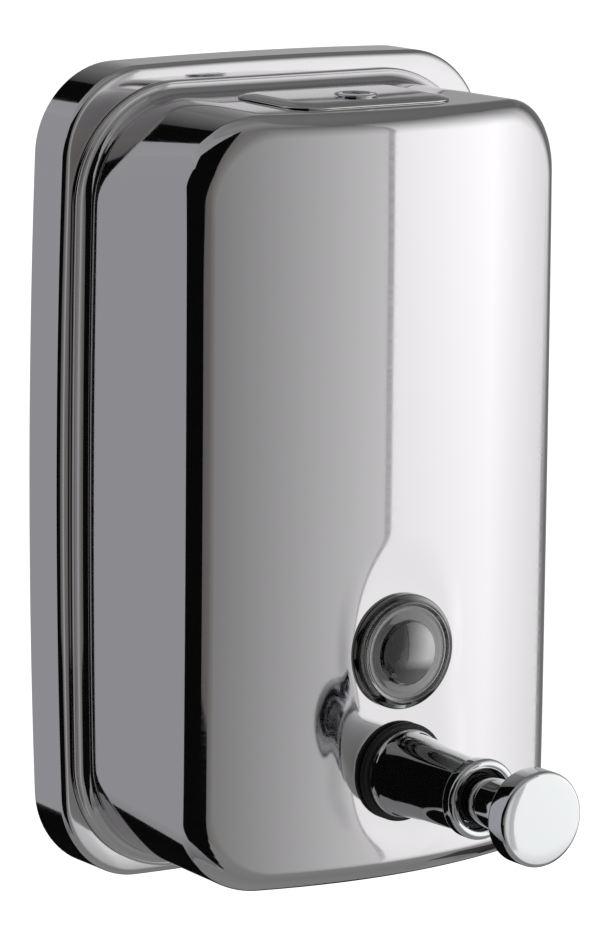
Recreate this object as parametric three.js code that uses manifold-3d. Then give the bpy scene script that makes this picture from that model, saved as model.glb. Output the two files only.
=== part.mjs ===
import * as THREE from "three";
import { mergeVertices } from "three/addons/utils/BufferGeometryUtils.js";
import Module from "manifold-3d";

// Wall-mounted soap dispenser in polished stainless steel, with a push pump. Sizes are in millimetres.
// X runs to the right as seen from the room, Y into the wall and Z up.
// The origin lies on the wall, behind the middle of the tray.

// Fits and sheet
const sheet = 1;
const seatGap = 0.25;
const overrun = 2;

// Tray: a shallow drawn pan, open towards the wall
const trayWidth = 128.3;
const trayHeight = 205;
const trayDepth = 14.7;
const trayCorner = 20.8;
const traySideBow = 2.5;
const trayEndBow = 1.2;
const trayEdge = 1.6;
const wallGap = 0.6;

// Tank: a deep-drawn box that tapers to a bowed front
const tankSideMargin = 10.3;
const tankEndMargin = 7.4;
const tankWidth = trayWidth - 2 * tankSideMargin;
const tankHeight = trayHeight - 2 * tankEndMargin;
const tankDrop = 1.1;
const tankCorner = 17.4;
const rootCorner = 26;
const widthDraft = 4.4;
const heightDraft = 0.8;
const rootBow = 1.6;
const frontDepth = 58.8;
const frontBow = 11.7;
const frontCrown = 0.4;
const sideEdge = 4.5;
const endEdge = 5;
const endEdgeShare = 0.7;
const flangeWidth = 3.2;
const flangeThickness = 1.2;
const flangeEdge = 0.4;
const rootRadius = 1.8;
const grooveDepth = 0.2;

// Wall plate and hangers
const plateSideMargin = 22.15;
const plateEndMargin = 27.5;
const plateWidth = trayWidth - 2 * plateSideMargin;
const plateHeight = trayHeight - 2 * plateEndMargin;
const plateThickness = 1.5;
const plateCorner = 6;
const screwSideMargin = 10;
const screwEndMargin = 13;
const screwRadius = 2.6;
const hookWidth = 14;
const hookSpacing = 36;
const hookRise = 8;
const hookSlot = 3.1;
const upperHookFromTop = 34;
const lowerHookFromFoot = 20;
const hangerWidth = 64;
const hangerFoot = 14;

// Lid, its mouth in the tank and its hidden hinge, placed from the hinge pin
const pivotFromWall = 23;
const pivotDepth = 3.6;
const mouthWidth = 40;
const mouthRear = 7.2;
const mouthLength = 25;
const mouthCorner = 2.5;
const lidWidth = 48;
const lidRear = 3.5;
const lidLength = 32.5;
const lidCorner = 8;
const lidRise = 1.3;
const lidSheet = 0.6;
const gasketWidth = 1.6;
const gasketThickness = 0.3;
const armWidth = 5;
const armThickness = 1.5;
const armSpacing = 32;
const armReach = 9.65;
const armDrop = 8.6;
const armHeel = 2;
const armToeDrop = 6;
const pinRadius = 1;
const knuckleRadius = 2.2;
const pinHeadRadius = 1.9;
const pinHeadLength = 0.8;
const earThickness = 1.5;
const earRise = 1.7;
const bracketDrop = 7;

// Lock: a cam lock through the lid
const lockFromPivot = 25;
const lockRadius = 4.5;
const lockLength = 12.5;
const lockHeadRadius = 5.4;
const lockHeadHeight = 0.45;
const plugRadius = 3;
const keySlotWidth = 0.8;
const keySlotLength = 3.6;
const keySlotDepth = 3;
const tailRadius = 1.6;
const tailLength = 2.4;
const lockNutWidth = 13;
const lockNutThickness = 2.5;
const camThickness = 1.5;
const camHubRadius = 4.6;
const camWidth = 5;
const camReach = 11.5;
const camFinger = 2.5;

// Sight glass
const sightAbovePump = 30.2;
const sightSeatInset = 0.7;
const sightRadius = 14.3;
const sightHoleRadius = 10.4;
const sightBossRadius = 7.9;
const sightBossHeight = 3.6;
const sightDome = 4.6;
const sightFace = [[8.1, 3.1], [11.4, 2.4], [12.1, 2.8], [12.5, 2.8], [13.6, 1.9], [sightRadius, 1]];
const domeShares = [0, 0.35, 0.7, 1];
const sightFloor = 1.4;
const sightFloorMiddle = 2;
const sightShankRadius = 10;
const sightShankLength = 9;
const sightBoreRadius = 7.6;
const sightGasketRadius = 13.4;
const sightGasketThickness = 0.9;
const sightNutRadius = 14;
const sightNutThickness = 5;
const sightFlatMargin = 0.7;

// Pump, along a level axis
const pumpAboveFoot = 27.4;
const pumpSeatInset = 0.9;
const pumpFlatMargin = 0.6;
const shankRadius = 8.3;
const shankLength = 13;
const washerRadius = 12.3;
const washerThickness = 2;
const washerEdge = 0.6;
const barrelRadius = 10.6;
const barrelFootRadius = 11;
const barrelFoot = 1;
const barrelEndRadius = 9;
const barrelLength = 32.8;
const lipRadius = 9.95;
const lipLength = 4;
const lipEdge = 1.1;
const boreRadius = 7.2;
const mouthBoreRadius = 7.7;
const mouthBoreDepth = 5;
const outletRadius = 1.9;
const outletFromTip = 9;
const bushLength = 2;
const bushInset = 2.6;
const innerWasherRadius = 12;
const innerWasherThickness = 1.7;
const pumpNutWidth = 24;
const pumpNutThickness = 5;
const cylinderRadius = 8.2;
const cylinderBore = 6.75;
const glandLength = 11;
const glandTail = 1.3;

// Plunger
const stemRadius = 6.2;
const neckLength = 38;
const rodRadius = 4;
const rodFit = 0.2;
const rodBore = 2.9;
const stemBore = 2;
const stemPortRadius = 1.3;
const stemPortFromNeck = 4;
const stemBoreBeyondPort = 4;
const knobRadius = 11.65;
const knobThickness = 6.4;
const knobGap = 16.8;
const knobEdge = 1;
const knobCrown = 0.15;
const spigotRadius = 3.75;
const spigotLength = 3.5;
const pistonRadius = 6.45;
const pistonLength = 6.5;
const pistonFloor = 2.3;
const sealGroove = 5.3;
const sealLength = 1.6;
const sealRadius = 6.65;
const sealFromFront = 2.6;

// Valves and spring
const outletBallRadius = 2.3;
const outletSeatRadius = 1.6;
const outletLift = 1.4;
const inletBallRadius = 3;
const inletSeatRadius = 2;
const inletLift = 1.5;
const capRadius = 9.6;
const capOverlap = 7;
const capFloor = 2.7;
const soapWay = 4.1;
const cageRadius = 6.5;
const cageWall = 1;
const cageFloor = 1.6;
const cagePortRadius = 0.9;
const cagePortCircle = 3.6;
const cagePorts = 4;
const wireRadius = 0.45;
const springRadius = 5.3;
const springTurns = 5;
const springSteps = 12;
const wireSides = 5;

// Steps of the round forms
const turnSteps = 28;
const smallTurnSteps = 18;
const cornerSteps = 6;
const sideSteps = 4;
const endSteps = 6;
const edgeSteps = 4;
const frontShares = [0.82, 0.62, 0.42, 0.22, 0.05];
const innerFrontShares = [0.7, 0.4, 0.05];

// Materials, one for each finish
const finish = (name, color, roughness, metalness, more = {}) =>
  new THREE.MeshStandardMaterial({ name, color, roughness, metalness, ...more });
const polishedSteel = finish("polished_steel", 0xc9cacb, 0.06, 1);
const plainSteel = finish("plain_steel", 0xa9abad, 0.35, 1);
const chrome = finish("chrome", 0xdcdde0, 0.04, 1);
const rubber = finish("black_rubber", 0x161616, 0.75, 0);
const clearPlastic = finish("clear_acrylic", 0xb9c2c4, 0.05, 0, { transparent: true, opacity: 0.45 });
const whitePlastic = finish("white_acetal", 0xe6e5e0, 0.45, 0);
const blackPlastic = finish("black_nylon", 0x1d1d1e, 0.5, 0);

const wasm = await Module();
wasm.setup();

// A closed geometry as a solid that can be joined and cut, its faces turned outwards
function solid(geometry) {
  const bare = geometry.clone();
  bare.deleteAttribute("normal");
  bare.deleteAttribute("uv");
  const merged = mergeVertices(bare);
  const vertProperties = merged.attributes.position.array;
  const triVerts = new Uint32Array(merged.index.array);
  const made = new wasm.Manifold(new wasm.Mesh({ numProp: 3, vertProperties, triVerts }));
  if (made.volume() > 0) return made;
  for (let i = 0; i < triVerts.length; i += 3) triVerts.subarray(i + 1, i + 3).reverse();
  return new wasm.Manifold(new wasm.Mesh({ numProp: 3, vertProperties, triVerts }));
}

function geometryOf(made) {
  const mesh = made.getMesh();
  return new THREE.BufferGeometry()
    .setAttribute("position", new THREE.BufferAttribute(mesh.vertProperties, 3))
    .setIndex(new THREE.BufferAttribute(mesh.triVerts, 1));
}

// The first geometry with the others in one list joined to it and those in the other list cut from it
function built(base, joined, cut) {
  let made = solid(base);
  joined.forEach((geometry) => {
    made = made.add(solid(geometry));
  });
  cut.forEach((geometry) => {
    made = made.subtract(solid(geometry));
  });
  return geometryOf(made);
}

// A box between two corners
function block(low, high) {
  const size = high.map((value, i) => value - low[i]);
  const middle = high.map((value, i) => (value + low[i]) / 2);
  return new THREE.BoxGeometry(...size).translate(...middle);
}

// A body turned round the Y axis from [radius, y] points that run anticlockwise
function turned(profile, steps = turnSteps) {
  const points = profile.map(([radius, y]) => new THREE.Vector2(radius, y));
  if (profile[0][0] > 0) points.push(points[0].clone());
  return new THREE.LatheGeometry(points, steps);
}

// A turned tube from one y to a greater one
function tube(inner, outer, start, end, steps = smallTurnSteps) {
  return turned([[outer, start], [outer, end], [inner, end], [inner, start]], steps);
}

function rod(radius, start, end, steps = smallTurnSteps) {
  return turned([[0, start], [radius, start], [radius, end], [0, end]], steps);
}

// Points of a quarter round from one angle to another
function arc(centre, radius, from, to, steps = edgeSteps) {
  return Array.from({ length: steps + 1 }, (unused, i) => {
    const angle = from + ((to - from) * i) / steps;
    return [centre[0] + radius * Math.cos(angle), centre[1] + radius * Math.sin(angle)];
  });
}

const shapeOf = (points) => new THREE.Shape(points.map(([x, y]) => new THREE.Vector2(x, y)));

// A rectangle with rounded corners, from its low corner to its high one
function roundedRectangle(low, high, corner) {
  const inset = [
    [high[0] - corner, high[1] - corner],
    [low[0] + corner, high[1] - corner],
    [low[0] + corner, low[1] + corner],
    [high[0] - corner, low[1] + corner],
  ];
  const quarter = Math.PI / 2;
  return shapeOf(inset.flatMap((centre, i) => arc(centre, corner, i * quarter, (i + 1) * quarter)));
}

function hexagon(width) {
  const radius = width / Math.sqrt(3);
  return shapeOf(arc([0, 0], radius, 0, Math.PI * 2, 6).slice(0, 6));
}

function withHole(shape, radius) {
  shape.holes.push(new THREE.Path().absarc(0, 0, radius, 0, Math.PI * 2));
  return shape;
}

// A flat piece of a given thickness, drawn in X and Y and standing up from a height
const raised = (shape, low, high) =>
  new THREE.ExtrudeGeometry(shape, { depth: high - low, bevelEnabled: false, curveSegments: smallTurnSteps })
    .translate(0, 0, low);

// A flat piece drawn in X and Z, from one depth to a depth nearer the room
const facing = (shape, back, front) => raised(shape, -back, -front).rotateX(Math.PI / 2);

// A section drawn in Y and Z, drawn out along X
const crossX = new THREE.Matrix4().makeBasis(
  new THREE.Vector3(0, 1, 0),
  new THREE.Vector3(0, 0, 1),
  new THREE.Vector3(1, 0, 0),
);
const acrossX = (points, from, to) => raised(shapeOf(points), from, to).applyMatrix4(crossX);

// A strip of one thickness that follows a path of [y, z] points, as a closed section
function strip(path, thickness) {
  const half = thickness / 2;
  const directions = path.slice(1).map((end, i) => {
    const length = Math.hypot(end[0] - path[i][0], end[1] - path[i][1]);
    return [(end[0] - path[i][0]) / length, (end[1] - path[i][1]) / length];
  });
  const side = (offset) =>
    path.map(([y, z], i) => {
      const before = directions[Math.max(i - 1, 0)];
      const after = directions[Math.min(i, directions.length - 1)];
      const bisector = [before[0] + after[0], before[1] + after[1]];
      const scale = (2 * offset) / (bisector[0] ** 2 + bisector[1] ** 2);
      return [y - scale * bisector[1], z + scale * bisector[0]];
    });
  return [...side(half), ...side(-half).reverse()];
}

// Points of a bowed, round-cornered outline as [x, z], anticlockwise as seen from the room
function outline(halfWidth, halfHeight, corner, sideBow = 0, endBow = 0) {
  const flat = [];
  const signs = [[1, 1], [-1, 1], [-1, -1], [1, -1]];
  signs.forEach(([signX, signZ], k) => {
    for (let i = 0; i <= cornerSteps; i++) {
      const turn = ((signX * signZ > 0 ? i : cornerSteps - i) / cornerSteps) * (Math.PI / 2);
      const x = signX * (halfWidth - corner + corner * Math.cos(turn));
      const z = signZ * (halfHeight - corner + corner * Math.sin(turn));
      flat.push([x, z]);
    }
    const [x, z] = flat[flat.length - 1];
    const steps = k % 2 === 0 ? endSteps : sideSteps;
    for (let i = 1; i < steps; i++) {
      const share = 1 - (2 * i) / steps;
      flat.push(k % 2 === 0 ? [x * share, z] : [x, z * share]);
    }
  });
  return flat.map(([x, z]) => {
    const sideShare = Math.min(1, Math.abs(x) / (halfWidth - corner)) * (z / halfHeight) ** 2;
    const endShare = Math.min(1, Math.abs(z) / (halfHeight - corner)) * (x / halfWidth) ** 2;
    return [x - Math.sign(x) * sideBow * sideShare, z - Math.sign(z) * endBow * endShare];
  });
}

const ringAt = (points, y) => points.map(([x, z]) => new THREE.Vector3(x, y, z));

// A closed skin over a row of rings with the same number of points, its two ends fanned to their middles
function skin(rings) {
  const count = rings[0].length;
  const points = rings.flat();
  const middle = (ring) =>
    ring.reduce((sum, point) => sum.add(point), new THREE.Vector3()).divideScalar(count);
  const first = points.push(middle(rings[0])) - 1;
  const last = points.push(middle(rings[rings.length - 1])) - 1;
  const faces = [];
  const lastRing = (rings.length - 1) * count;
  for (let i = 0; i < count; i++) {
    const next = (i + 1) % count;
    faces.push(first, i, next, last, lastRing + next, lastRing + i);
    for (let ring = 0; ring < lastRing; ring += count) {
      faces.push(ring + i, ring + count + i, ring + next);
      faces.push(ring + next, ring + count + i, ring + count + next);
    }
  }
  return new THREE.BufferGeometry()
    .setAttribute("position", new THREE.Float32BufferAttribute(points.flatMap((p) => p.toArray()), 3))
    .setIndex(faces);
}

const part = new THREE.Group();

function piece(name, geometry, material, parent = part) {
  const mesh = new THREE.Mesh(geometry, material);
  mesh.name = name;
  geometry.computeVertexNormals();
  parent.add(mesh);
}

// Tray
const halfTrayWidth = trayWidth / 2;
const halfTrayHeight = trayHeight / 2;

function trayOutline(inset) {
  return outline(
    halfTrayWidth - inset,
    halfTrayHeight - inset,
    trayCorner - inset,
    traySideBow,
    trayEndBow,
  );
}

// Rings of the tray's edge, from its side to its front, at a distance inside the outer skin
function trayEdgeRings(inward) {
  const radius = Math.max(trayEdge - inward, trayEdge / 2);
  return arc([0, 0], radius, 0, Math.PI / 2).map(([out, up]) =>
    ringAt(trayOutline(inward + radius - out), -(trayDepth - inward - radius + up)),
  );
}

piece(
  "back_pan",
  skin([
    ...trayEdgeRings(0).reverse(),
    ringAt(trayOutline(0), -wallGap),
    ringAt(trayOutline(sheet), -wallGap),
    ...trayEdgeRings(sheet),
  ]),
  polishedSteel,
);

// Tank
const halfTankWidth = tankWidth / 2;
const halfTankHeight = tankHeight / 2;
const flangeBack = -(trayDepth + seatGap);
const flangeFront = flangeBack - flangeThickness;

function frontAt(x, z) {
  const bow = frontBow * (1 - (x / halfTankWidth) ** 2);
  const crown = frontCrown * (1 - ((z + tankDrop) / halfTankHeight) ** 2);
  return -(frontDepth + bow + crown);
}

function tankOutline(inward, draftShare) {
  return outline(
    halfTankWidth + widthDraft * draftShare - inward,
    halfTankHeight + heightDraft * draftShare - inward,
    tankCorner + (rootCorner - tankCorner) * draftShare - inward,
    rootBow * draftShare,
  );
}

// One ring of the rounded front edge, from the side wall at turn 0 to the front at a quarter turn
function frontEdgeRing(inward, turn) {
  const halfWidth = halfTankWidth - inward;
  const halfHeight = halfTankHeight - inward;
  const drawn = 1 - Math.cos(turn);
  return tankOutline(inward, 0).map(([x, z]) => {
    const share = Math.abs(z) / halfHeight;
    const endShare = Math.min(1, Math.max(0, (share - endEdgeShare) / (1 - endEdgeShare)));
    const edge = sideEdge * (1 - endShare) + endEdge * endShare - inward;
    const newX = x * (1 - ((sideEdge - inward) * drawn) / halfWidth);
    const newZ = z * (1 - ((endEdge - inward) * drawn) / halfHeight) - tankDrop;
    return new THREE.Vector3(newX, frontAt(newX, newZ) + inward + edge * (1 - Math.sin(turn)), newZ);
  });
}

const edgeTurns = Array.from({ length: edgeSteps + 1 }, (unused, i) => (i / edgeSteps) * (Math.PI / 2));

function frontRings(inward, shares) {
  const edge = frontEdgeRing(inward, Math.PI / 2);
  return shares.map((share) =>
    edge.map(({ x, z }) => {
      const newX = x * share;
      const newZ = (z + tankDrop) * share - tankDrop;
      return new THREE.Vector3(newX, frontAt(newX, newZ) + inward, newZ);
    }),
  );
}

const rootAt = (inward, y) =>
  tankOutline(inward, 1).map(([x, z]) => new THREE.Vector3(x, y, z - tankDrop));

// Where the side wall stands at a depth, between its root at the tray and the front edge
function wallAt(inward, y) {
  const front = frontEdgeRing(inward, 0);
  return rootAt(inward, -trayDepth).map((root, i) =>
    root.lerp(front[i], (y - root.y) / (front[i].y - root.y)),
  );
}

// Where the groove lies on the flange, as shares of the way from the root to the edge
const grooveShares = { start: 0.1, middle: 0.25, end: 0.4 };

// The flange, from the rounded root to its edge on the tray
function flangeRings() {
  const wall = wallAt(0, flangeFront - rootRadius);
  const edge = rootAt(-flangeWidth, flangeFront);
  const outward = wall.map((point, i) => {
    const direction = edge[i].clone().sub(point).setY(0);
    return { direction: direction.clone().normalize(), length: direction.length() };
  });
  const ring = (reach, y) =>
    wall.map((point, i) => {
      const distance = reach(outward[i].length);
      return point.clone().addScaledVector(outward[i].direction, distance).setY(y);
    });
  const root = edgeTurns.map((turn) =>
    ring(() => rootRadius * (1 - Math.cos(turn)), flangeFront - rootRadius * (1 - Math.sin(turn))),
  );
  const land = (share) => (length) => rootRadius + (length - rootRadius) * share;
  return [
    ...root,
    ring(land(grooveShares.start), flangeFront),
    ring(land(grooveShares.middle), flangeFront + grooveDepth),
    ring(land(grooveShares.end), flangeFront),
    ring((length) => length - flangeEdge, flangeFront),
    ring((length) => length, flangeFront + flangeEdge),
    ring((length) => length, flangeBack),
  ];
}

const tankSkin = skin([
  ...frontRings(0, [...frontShares].reverse()),
  ...[...edgeTurns].reverse().map((turn) => frontEdgeRing(0, turn)),
  ...flangeRings(),
  rootAt(sheet, flangeBack),
  ...edgeTurns.map((turn) => frontEdgeRing(sheet, turn)),
  ...frontRings(sheet, innerFrontShares),
]);

// The frame of the lid's hinge: its pin on the origin, level with the slope of the tank's top
const topRun = frontDepth + frontBow - endEdge - trayDepth;
const topSlope = heightDraft / topRun;
const topAt = (y) => halfTankHeight + heightDraft - tankDrop + topSlope * (y + trayDepth);
const hinge = new THREE.Group();
hinge.rotation.x = Math.atan(topSlope);
hinge.position.set(0, -pivotFromWall, topAt(-pivotFromWall) - pivotDepth);
hinge.updateMatrixWorld(true);
part.add(hinge);

const mouthBack = -mouthRear;
const mouthFront = mouthBack - mouthLength;
const mouthCut = raised(
  roundedRectangle([-mouthWidth / 2, mouthFront], [mouthWidth / 2, mouthBack], mouthCorner),
  pivotDepth - sheet - overrun,
  pivotDepth + overrun,
).applyMatrix4(hinge.matrix);

// Flat seats pressed in the front for the sight glass and the pump, and their holes
const frontMiddle = frontDepth + frontBow + frontCrown;
const sightSeatDepth = frontMiddle - sightSeatInset;
const pumpSeatDepth = frontMiddle - pumpSeatInset;
const pumpHeight = pumpAboveFoot - halfTankHeight - tankDrop;
const sightHeight = pumpHeight + sightAbovePump;
const sightFlatRadius = sightRadius + sightFlatMargin;
const pumpFlatRadius = washerRadius + pumpFlatMargin;
const frontReach = frontMiddle + overrun;

const tankFlats = built(
  tankSkin,
  [],
  [
    rod(sightFlatRadius, -frontReach, -sightSeatDepth, turnSteps).translate(0, 0, sightHeight),
    rod(pumpFlatRadius, -frontReach, -pumpSeatDepth, turnSteps).translate(0, 0, pumpHeight),
  ],
);
const sightPad = rod(sightFlatRadius, -sightSeatDepth, sheet - sightSeatDepth, turnSteps);
const pumpPad = rod(pumpFlatRadius, -pumpSeatDepth, sheet - pumpSeatDepth, turnSteps);
const shankHole = shankRadius + seatGap;
piece(
  "tank_shell",
  built(
    tankFlats,
    [sightPad.translate(0, 0, sightHeight), pumpPad.translate(0, 0, pumpHeight)],
    [
      mouthCut,
      rod(sightHoleRadius, -frontReach, overrun - sightSeatDepth, turnSteps).translate(0, 0, sightHeight),
      rod(shankHole, -frontReach, overrun - pumpSeatDepth, turnSteps).translate(0, 0, pumpHeight),
    ],
  ),
  polishedSteel,
);

// Wall plate with four hooks and four screw holes
const plateFront = -plateThickness;
const hookFront = plateFront - hookSlot - plateThickness;

function hook(x, z) {
  const low = x - hookWidth / 2;
  const high = x + hookWidth / 2;
  return [
    block([low, hookFront, z], [high, plateFront / 2, z + plateThickness]),
    block([low, hookFront, z], [high, hookFront + plateThickness, z + hookRise]),
  ];
}

const screwHoles = [-1, 1].flatMap((signX) =>
  [-1, 1].map((signZ) =>
    rod(screwRadius, plateFront - overrun, overrun)
      .translate(signX * (plateWidth / 2 - screwSideMargin), 0, signZ * (plateHeight / 2 - screwEndMargin)),
  ),
);
const hookHeights = {
  upper: plateHeight / 2 - upperHookFromTop,
  lower: lowerHookFromFoot - plateHeight / 2,
};
piece(
  "wall_plate",
  built(
    facing(
      roundedRectangle([-plateWidth / 2, -plateHeight / 2], [plateWidth / 2, plateHeight / 2], plateCorner),
      0,
      plateFront,
    ),
    Object.values(hookHeights).flatMap((z) => [
      ...hook(-hookSpacing / 2, z),
      ...hook(hookSpacing / 2, z),
    ]),
    screwHoles,
  ),
  plainSteel,
);

// Hangers on the tray's back, whose lips stand in the hooks
const hangerFront = sheet - trayDepth + seatGap;
const lipMiddle = plateFront - hookSlot / 2;
Object.entries(hookHeights).forEach(([where, z]) => {
  const webUnderside = z + hookRise + seatGap;
  const footMiddle = hangerFront + plateThickness / 2;
  const section = strip(
    [
      [lipMiddle, z + plateThickness + seatGap],
      [lipMiddle, webUnderside + plateThickness / 2],
      [footMiddle, webUnderside + plateThickness / 2],
      [footMiddle, webUnderside + hangerFoot],
    ],
    plateThickness,
  );
  piece("hanger_" + where, acrossX(section, -hangerWidth / 2, hangerWidth / 2), plainSteel);
});

// Lid, its seal and its goosenecks, in the frame of the hinge
const lidBack = -lidRear;
const lidFront = lidBack - lidLength;
const lidTop = pivotDepth + lidRise;
const lidUnderside = lidTop - lidSheet;
const skirtFoot = pivotDepth + seatGap;

function lidRectangle(inset) {
  const half = lidWidth / 2 - inset;
  return roundedRectangle([-half, lidFront + inset], [half, lidBack - inset], lidCorner - inset);
}

function ringShape(outer, inner) {
  outer.holes.push(inner);
  return outer;
}

const armPath = [
  [0, 0],
  [-armHeel, -armDrop],
  [-armReach, -armToeDrop],
  [-armReach, lidTop - lidSheet / 2],
];
const armMiddles = [-armSpacing / 2, armSpacing / 2];
const along = (geometry) => geometry.rotateZ(-Math.PI / 2);
const arms = armMiddles.flatMap((x) => [
  acrossX(strip(armPath, armThickness), x - armWidth / 2, x + armWidth / 2),
  along(rod(knuckleRadius, x - armWidth / 2, x + armWidth / 2)),
]);
const knuckleHoles = armMiddles.map((x) =>
  along(rod(pinRadius + seatGap, x - armWidth / 2 - overrun, x + armWidth / 2 + overrun)),
);
const lockHole = lockRadius + seatGap;
const lidSkirt = raised(ringShape(lidRectangle(0), lidRectangle(lidSheet)), skirtFoot, lidTop);
const lidPlate = raised(lidRectangle(lidSheet / 2), lidUnderside, lidTop);
const lockCut = rod(lockHole, -lockLength, lockLength).rotateX(Math.PI / 2).translate(0, -lockFromPivot, 0);
piece(
  "filler_lid",
  built(lidSkirt, [lidPlate, ...arms], [...knuckleHoles, lockCut]),
  polishedSteel,
  hinge,
);

const gasketOuter = lidSheet + seatGap;
piece(
  "lid_gasket",
  raised(
    ringShape(lidRectangle(gasketOuter), lidRectangle(gasketOuter + gasketWidth)),
    lidUnderside - seatGap - gasketThickness,
    lidUnderside - seatGap,
  ),
  rubber,
  hinge,
);

// Hinge pin and the bracket that carries it, fixed to the tray's face inside the tank
const armOuter = armSpacing / 2 + armWidth / 2;
const earInner = armOuter + seatGap;
const earOuter = earInner + earThickness;
const pinEnd = earOuter + seatGap;
piece(
  "hinge_pin",
  along(
    turned(
      [
        [0, -pinEnd - pinHeadLength],
        [pinHeadRadius, -pinEnd - pinHeadLength],
        [pinHeadRadius, -pinEnd],
        [pinRadius, -pinEnd],
        [pinRadius, pinEnd],
        [pinHeadRadius, pinEnd],
        [pinHeadRadius, pinEnd + pinHeadLength],
        [0, pinEnd + pinHeadLength],
      ],
      smallTurnSteps,
    ),
  ),
  plainSteel,
  hinge,
);

const bracketBack = pivotFromWall - trayDepth - seatGap - topSlope * bracketDrop;
const bracketFront = bracketBack - earThickness;
const ears = [-1, 1].map((sign) => {
  const edges = [sign * earInner, sign * earOuter].sort((a, b) => a - b);
  return block([edges[0], -knuckleRadius, -knuckleRadius], [edges[1], bracketBack, earRise]);
});
const earHoles = [-1, 1].map((sign) => {
  const middle = (sign * (earInner + earOuter)) / 2;
  return along(rod(pinRadius + seatGap, middle - earThickness, middle + earThickness));
});
piece(
  "hinge_bracket",
  built(
    block([-earOuter, bracketFront, -bracketDrop], [earOuter, bracketBack, earRise]),
    ears,
    earHoles,
  ),
  plainSteel,
  hinge,
);

// Lock, upright in the lid
const lock = new THREE.Group();
lock.position.set(0, -lockFromPivot, lidTop);
hinge.add(lock);
const upright = (geometry) => geometry.rotateX(Math.PI / 2);
const plugHole = plugRadius + seatGap;
const housingTop = seatGap + lockHeadHeight;
piece(
  "lock_housing",
  upright(
    turned([
      [plugHole, -lockLength],
      [lockRadius, -lockLength],
      [lockRadius, seatGap],
      [lockHeadRadius, seatGap],
      [lockHeadRadius, housingTop - lockHeadHeight / 2],
      [lockHeadRadius - lockHeadHeight / 2, housingTop],
      [plugHole, housingTop],
    ]),
  ),
  chrome,
  lock,
);
const plugFoot = -lockLength - seatGap;
piece(
  "lock_plug",
  built(
    upright(
      turned(
        [
          [0, plugFoot - camThickness - tailLength / 2],
          [tailRadius, plugFoot - camThickness - tailLength / 2],
          [tailRadius, plugFoot + tailLength],
          [plugRadius, plugFoot + tailLength],
          [plugRadius, housingTop],
          [0, housingTop],
        ],
        smallTurnSteps,
      ),
    ),
    [],
    [
      block(
        [-keySlotWidth / 2, -keySlotLength / 2, housingTop - keySlotDepth],
        [keySlotWidth / 2, keySlotLength / 2, housingTop + overrun],
      ),
    ],
  ),
  chrome,
  lock,
);
const nutTop = -lidSheet - seatGap;
piece(
  "lock_nut",
  raised(withHole(hexagon(lockNutWidth), lockRadius + seatGap), nutTop - lockNutThickness, nutTop),
  plainSteel,
  lock,
);
const camTop = plugFoot - seatGap;
const camFoot = camTop - camThickness;
const camHub = shapeOf(arc([0, 0], camHubRadius, 0, Math.PI * 2, smallTurnSteps).slice(1));
const fingerTop = pivotDepth - lidTop - sheet - 2 * seatGap;
piece(
  "lock_cam",
  built(
    raised(withHole(camHub, tailRadius + seatGap), camFoot, camTop),
    [
      block([-camReach, -camWidth / 2, camFoot], [-plugHole, camWidth / 2, camTop]),
      block([-camReach, -camWidth / 2, camFoot], [camFinger - camReach, camWidth / 2, fingerTop]),
    ],
    [],
  ),
  plainSteel,
  lock,
);

// Sight glass, with its heights counted from the seat towards the room
const sight = new THREE.Group();
sight.position.set(0, -sightSeatDepth, sightHeight);
part.add(sight);
const sightBack = -seatGap;
const gasketSeat = sightBack - sightGasketThickness - seatGap;
const domeHeight = (share) => sightBossHeight + (sightDome - sightBossHeight) * (1 - share ** 2);
piece(
  "sight_lens",
  turned([
    ...domeShares.map((share) => [sightBossRadius * share, -domeHeight(share)]),
    ...sightFace.map(([radius, height]) => [radius, -height]),
    [sightRadius, sightBack],
    [sightGasketRadius + seatGap, sightBack],
    [sightGasketRadius + seatGap, gasketSeat],
    [sightShankRadius, gasketSeat],
    [sightShankRadius, sightShankLength],
    [sightBoreRadius, sightShankLength],
    [sightBoreRadius, -sightFloor],
    [0, -sightFloorMiddle],
  ]),
  clearPlastic,
  sight,
);
piece(
  "sight_gasket",
  tube(sightShankRadius + seatGap, sightGasketRadius, sightBack - sightGasketThickness, sightBack, turnSteps),
  rubber,
  sight,
);
piece(
  "sight_nut",
  tube(sightShankRadius + seatGap, sightNutRadius, sheet + seatGap, sheet + seatGap + sightNutThickness),
  blackPlastic,
  sight,
);

// Pump, with depths counted from its seat: negative towards the room, positive into the tank
const pump = new THREE.Group();
pump.position.set(0, -pumpSeatDepth, pumpHeight);
part.add(pump);
const washerBore = shankRadius + seatGap;
piece(
  "barrel_washer",
  turned([
    [washerBore, -seatGap - washerThickness],
    [washerRadius - washerEdge, -seatGap - washerThickness],
    [washerRadius, -seatGap - washerThickness + washerEdge],
    [washerRadius, -seatGap - washerEdge],
    [washerRadius - washerEdge, -seatGap],
    [washerBore, -seatGap],
  ]),
  rubber,
  pump,
);

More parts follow.
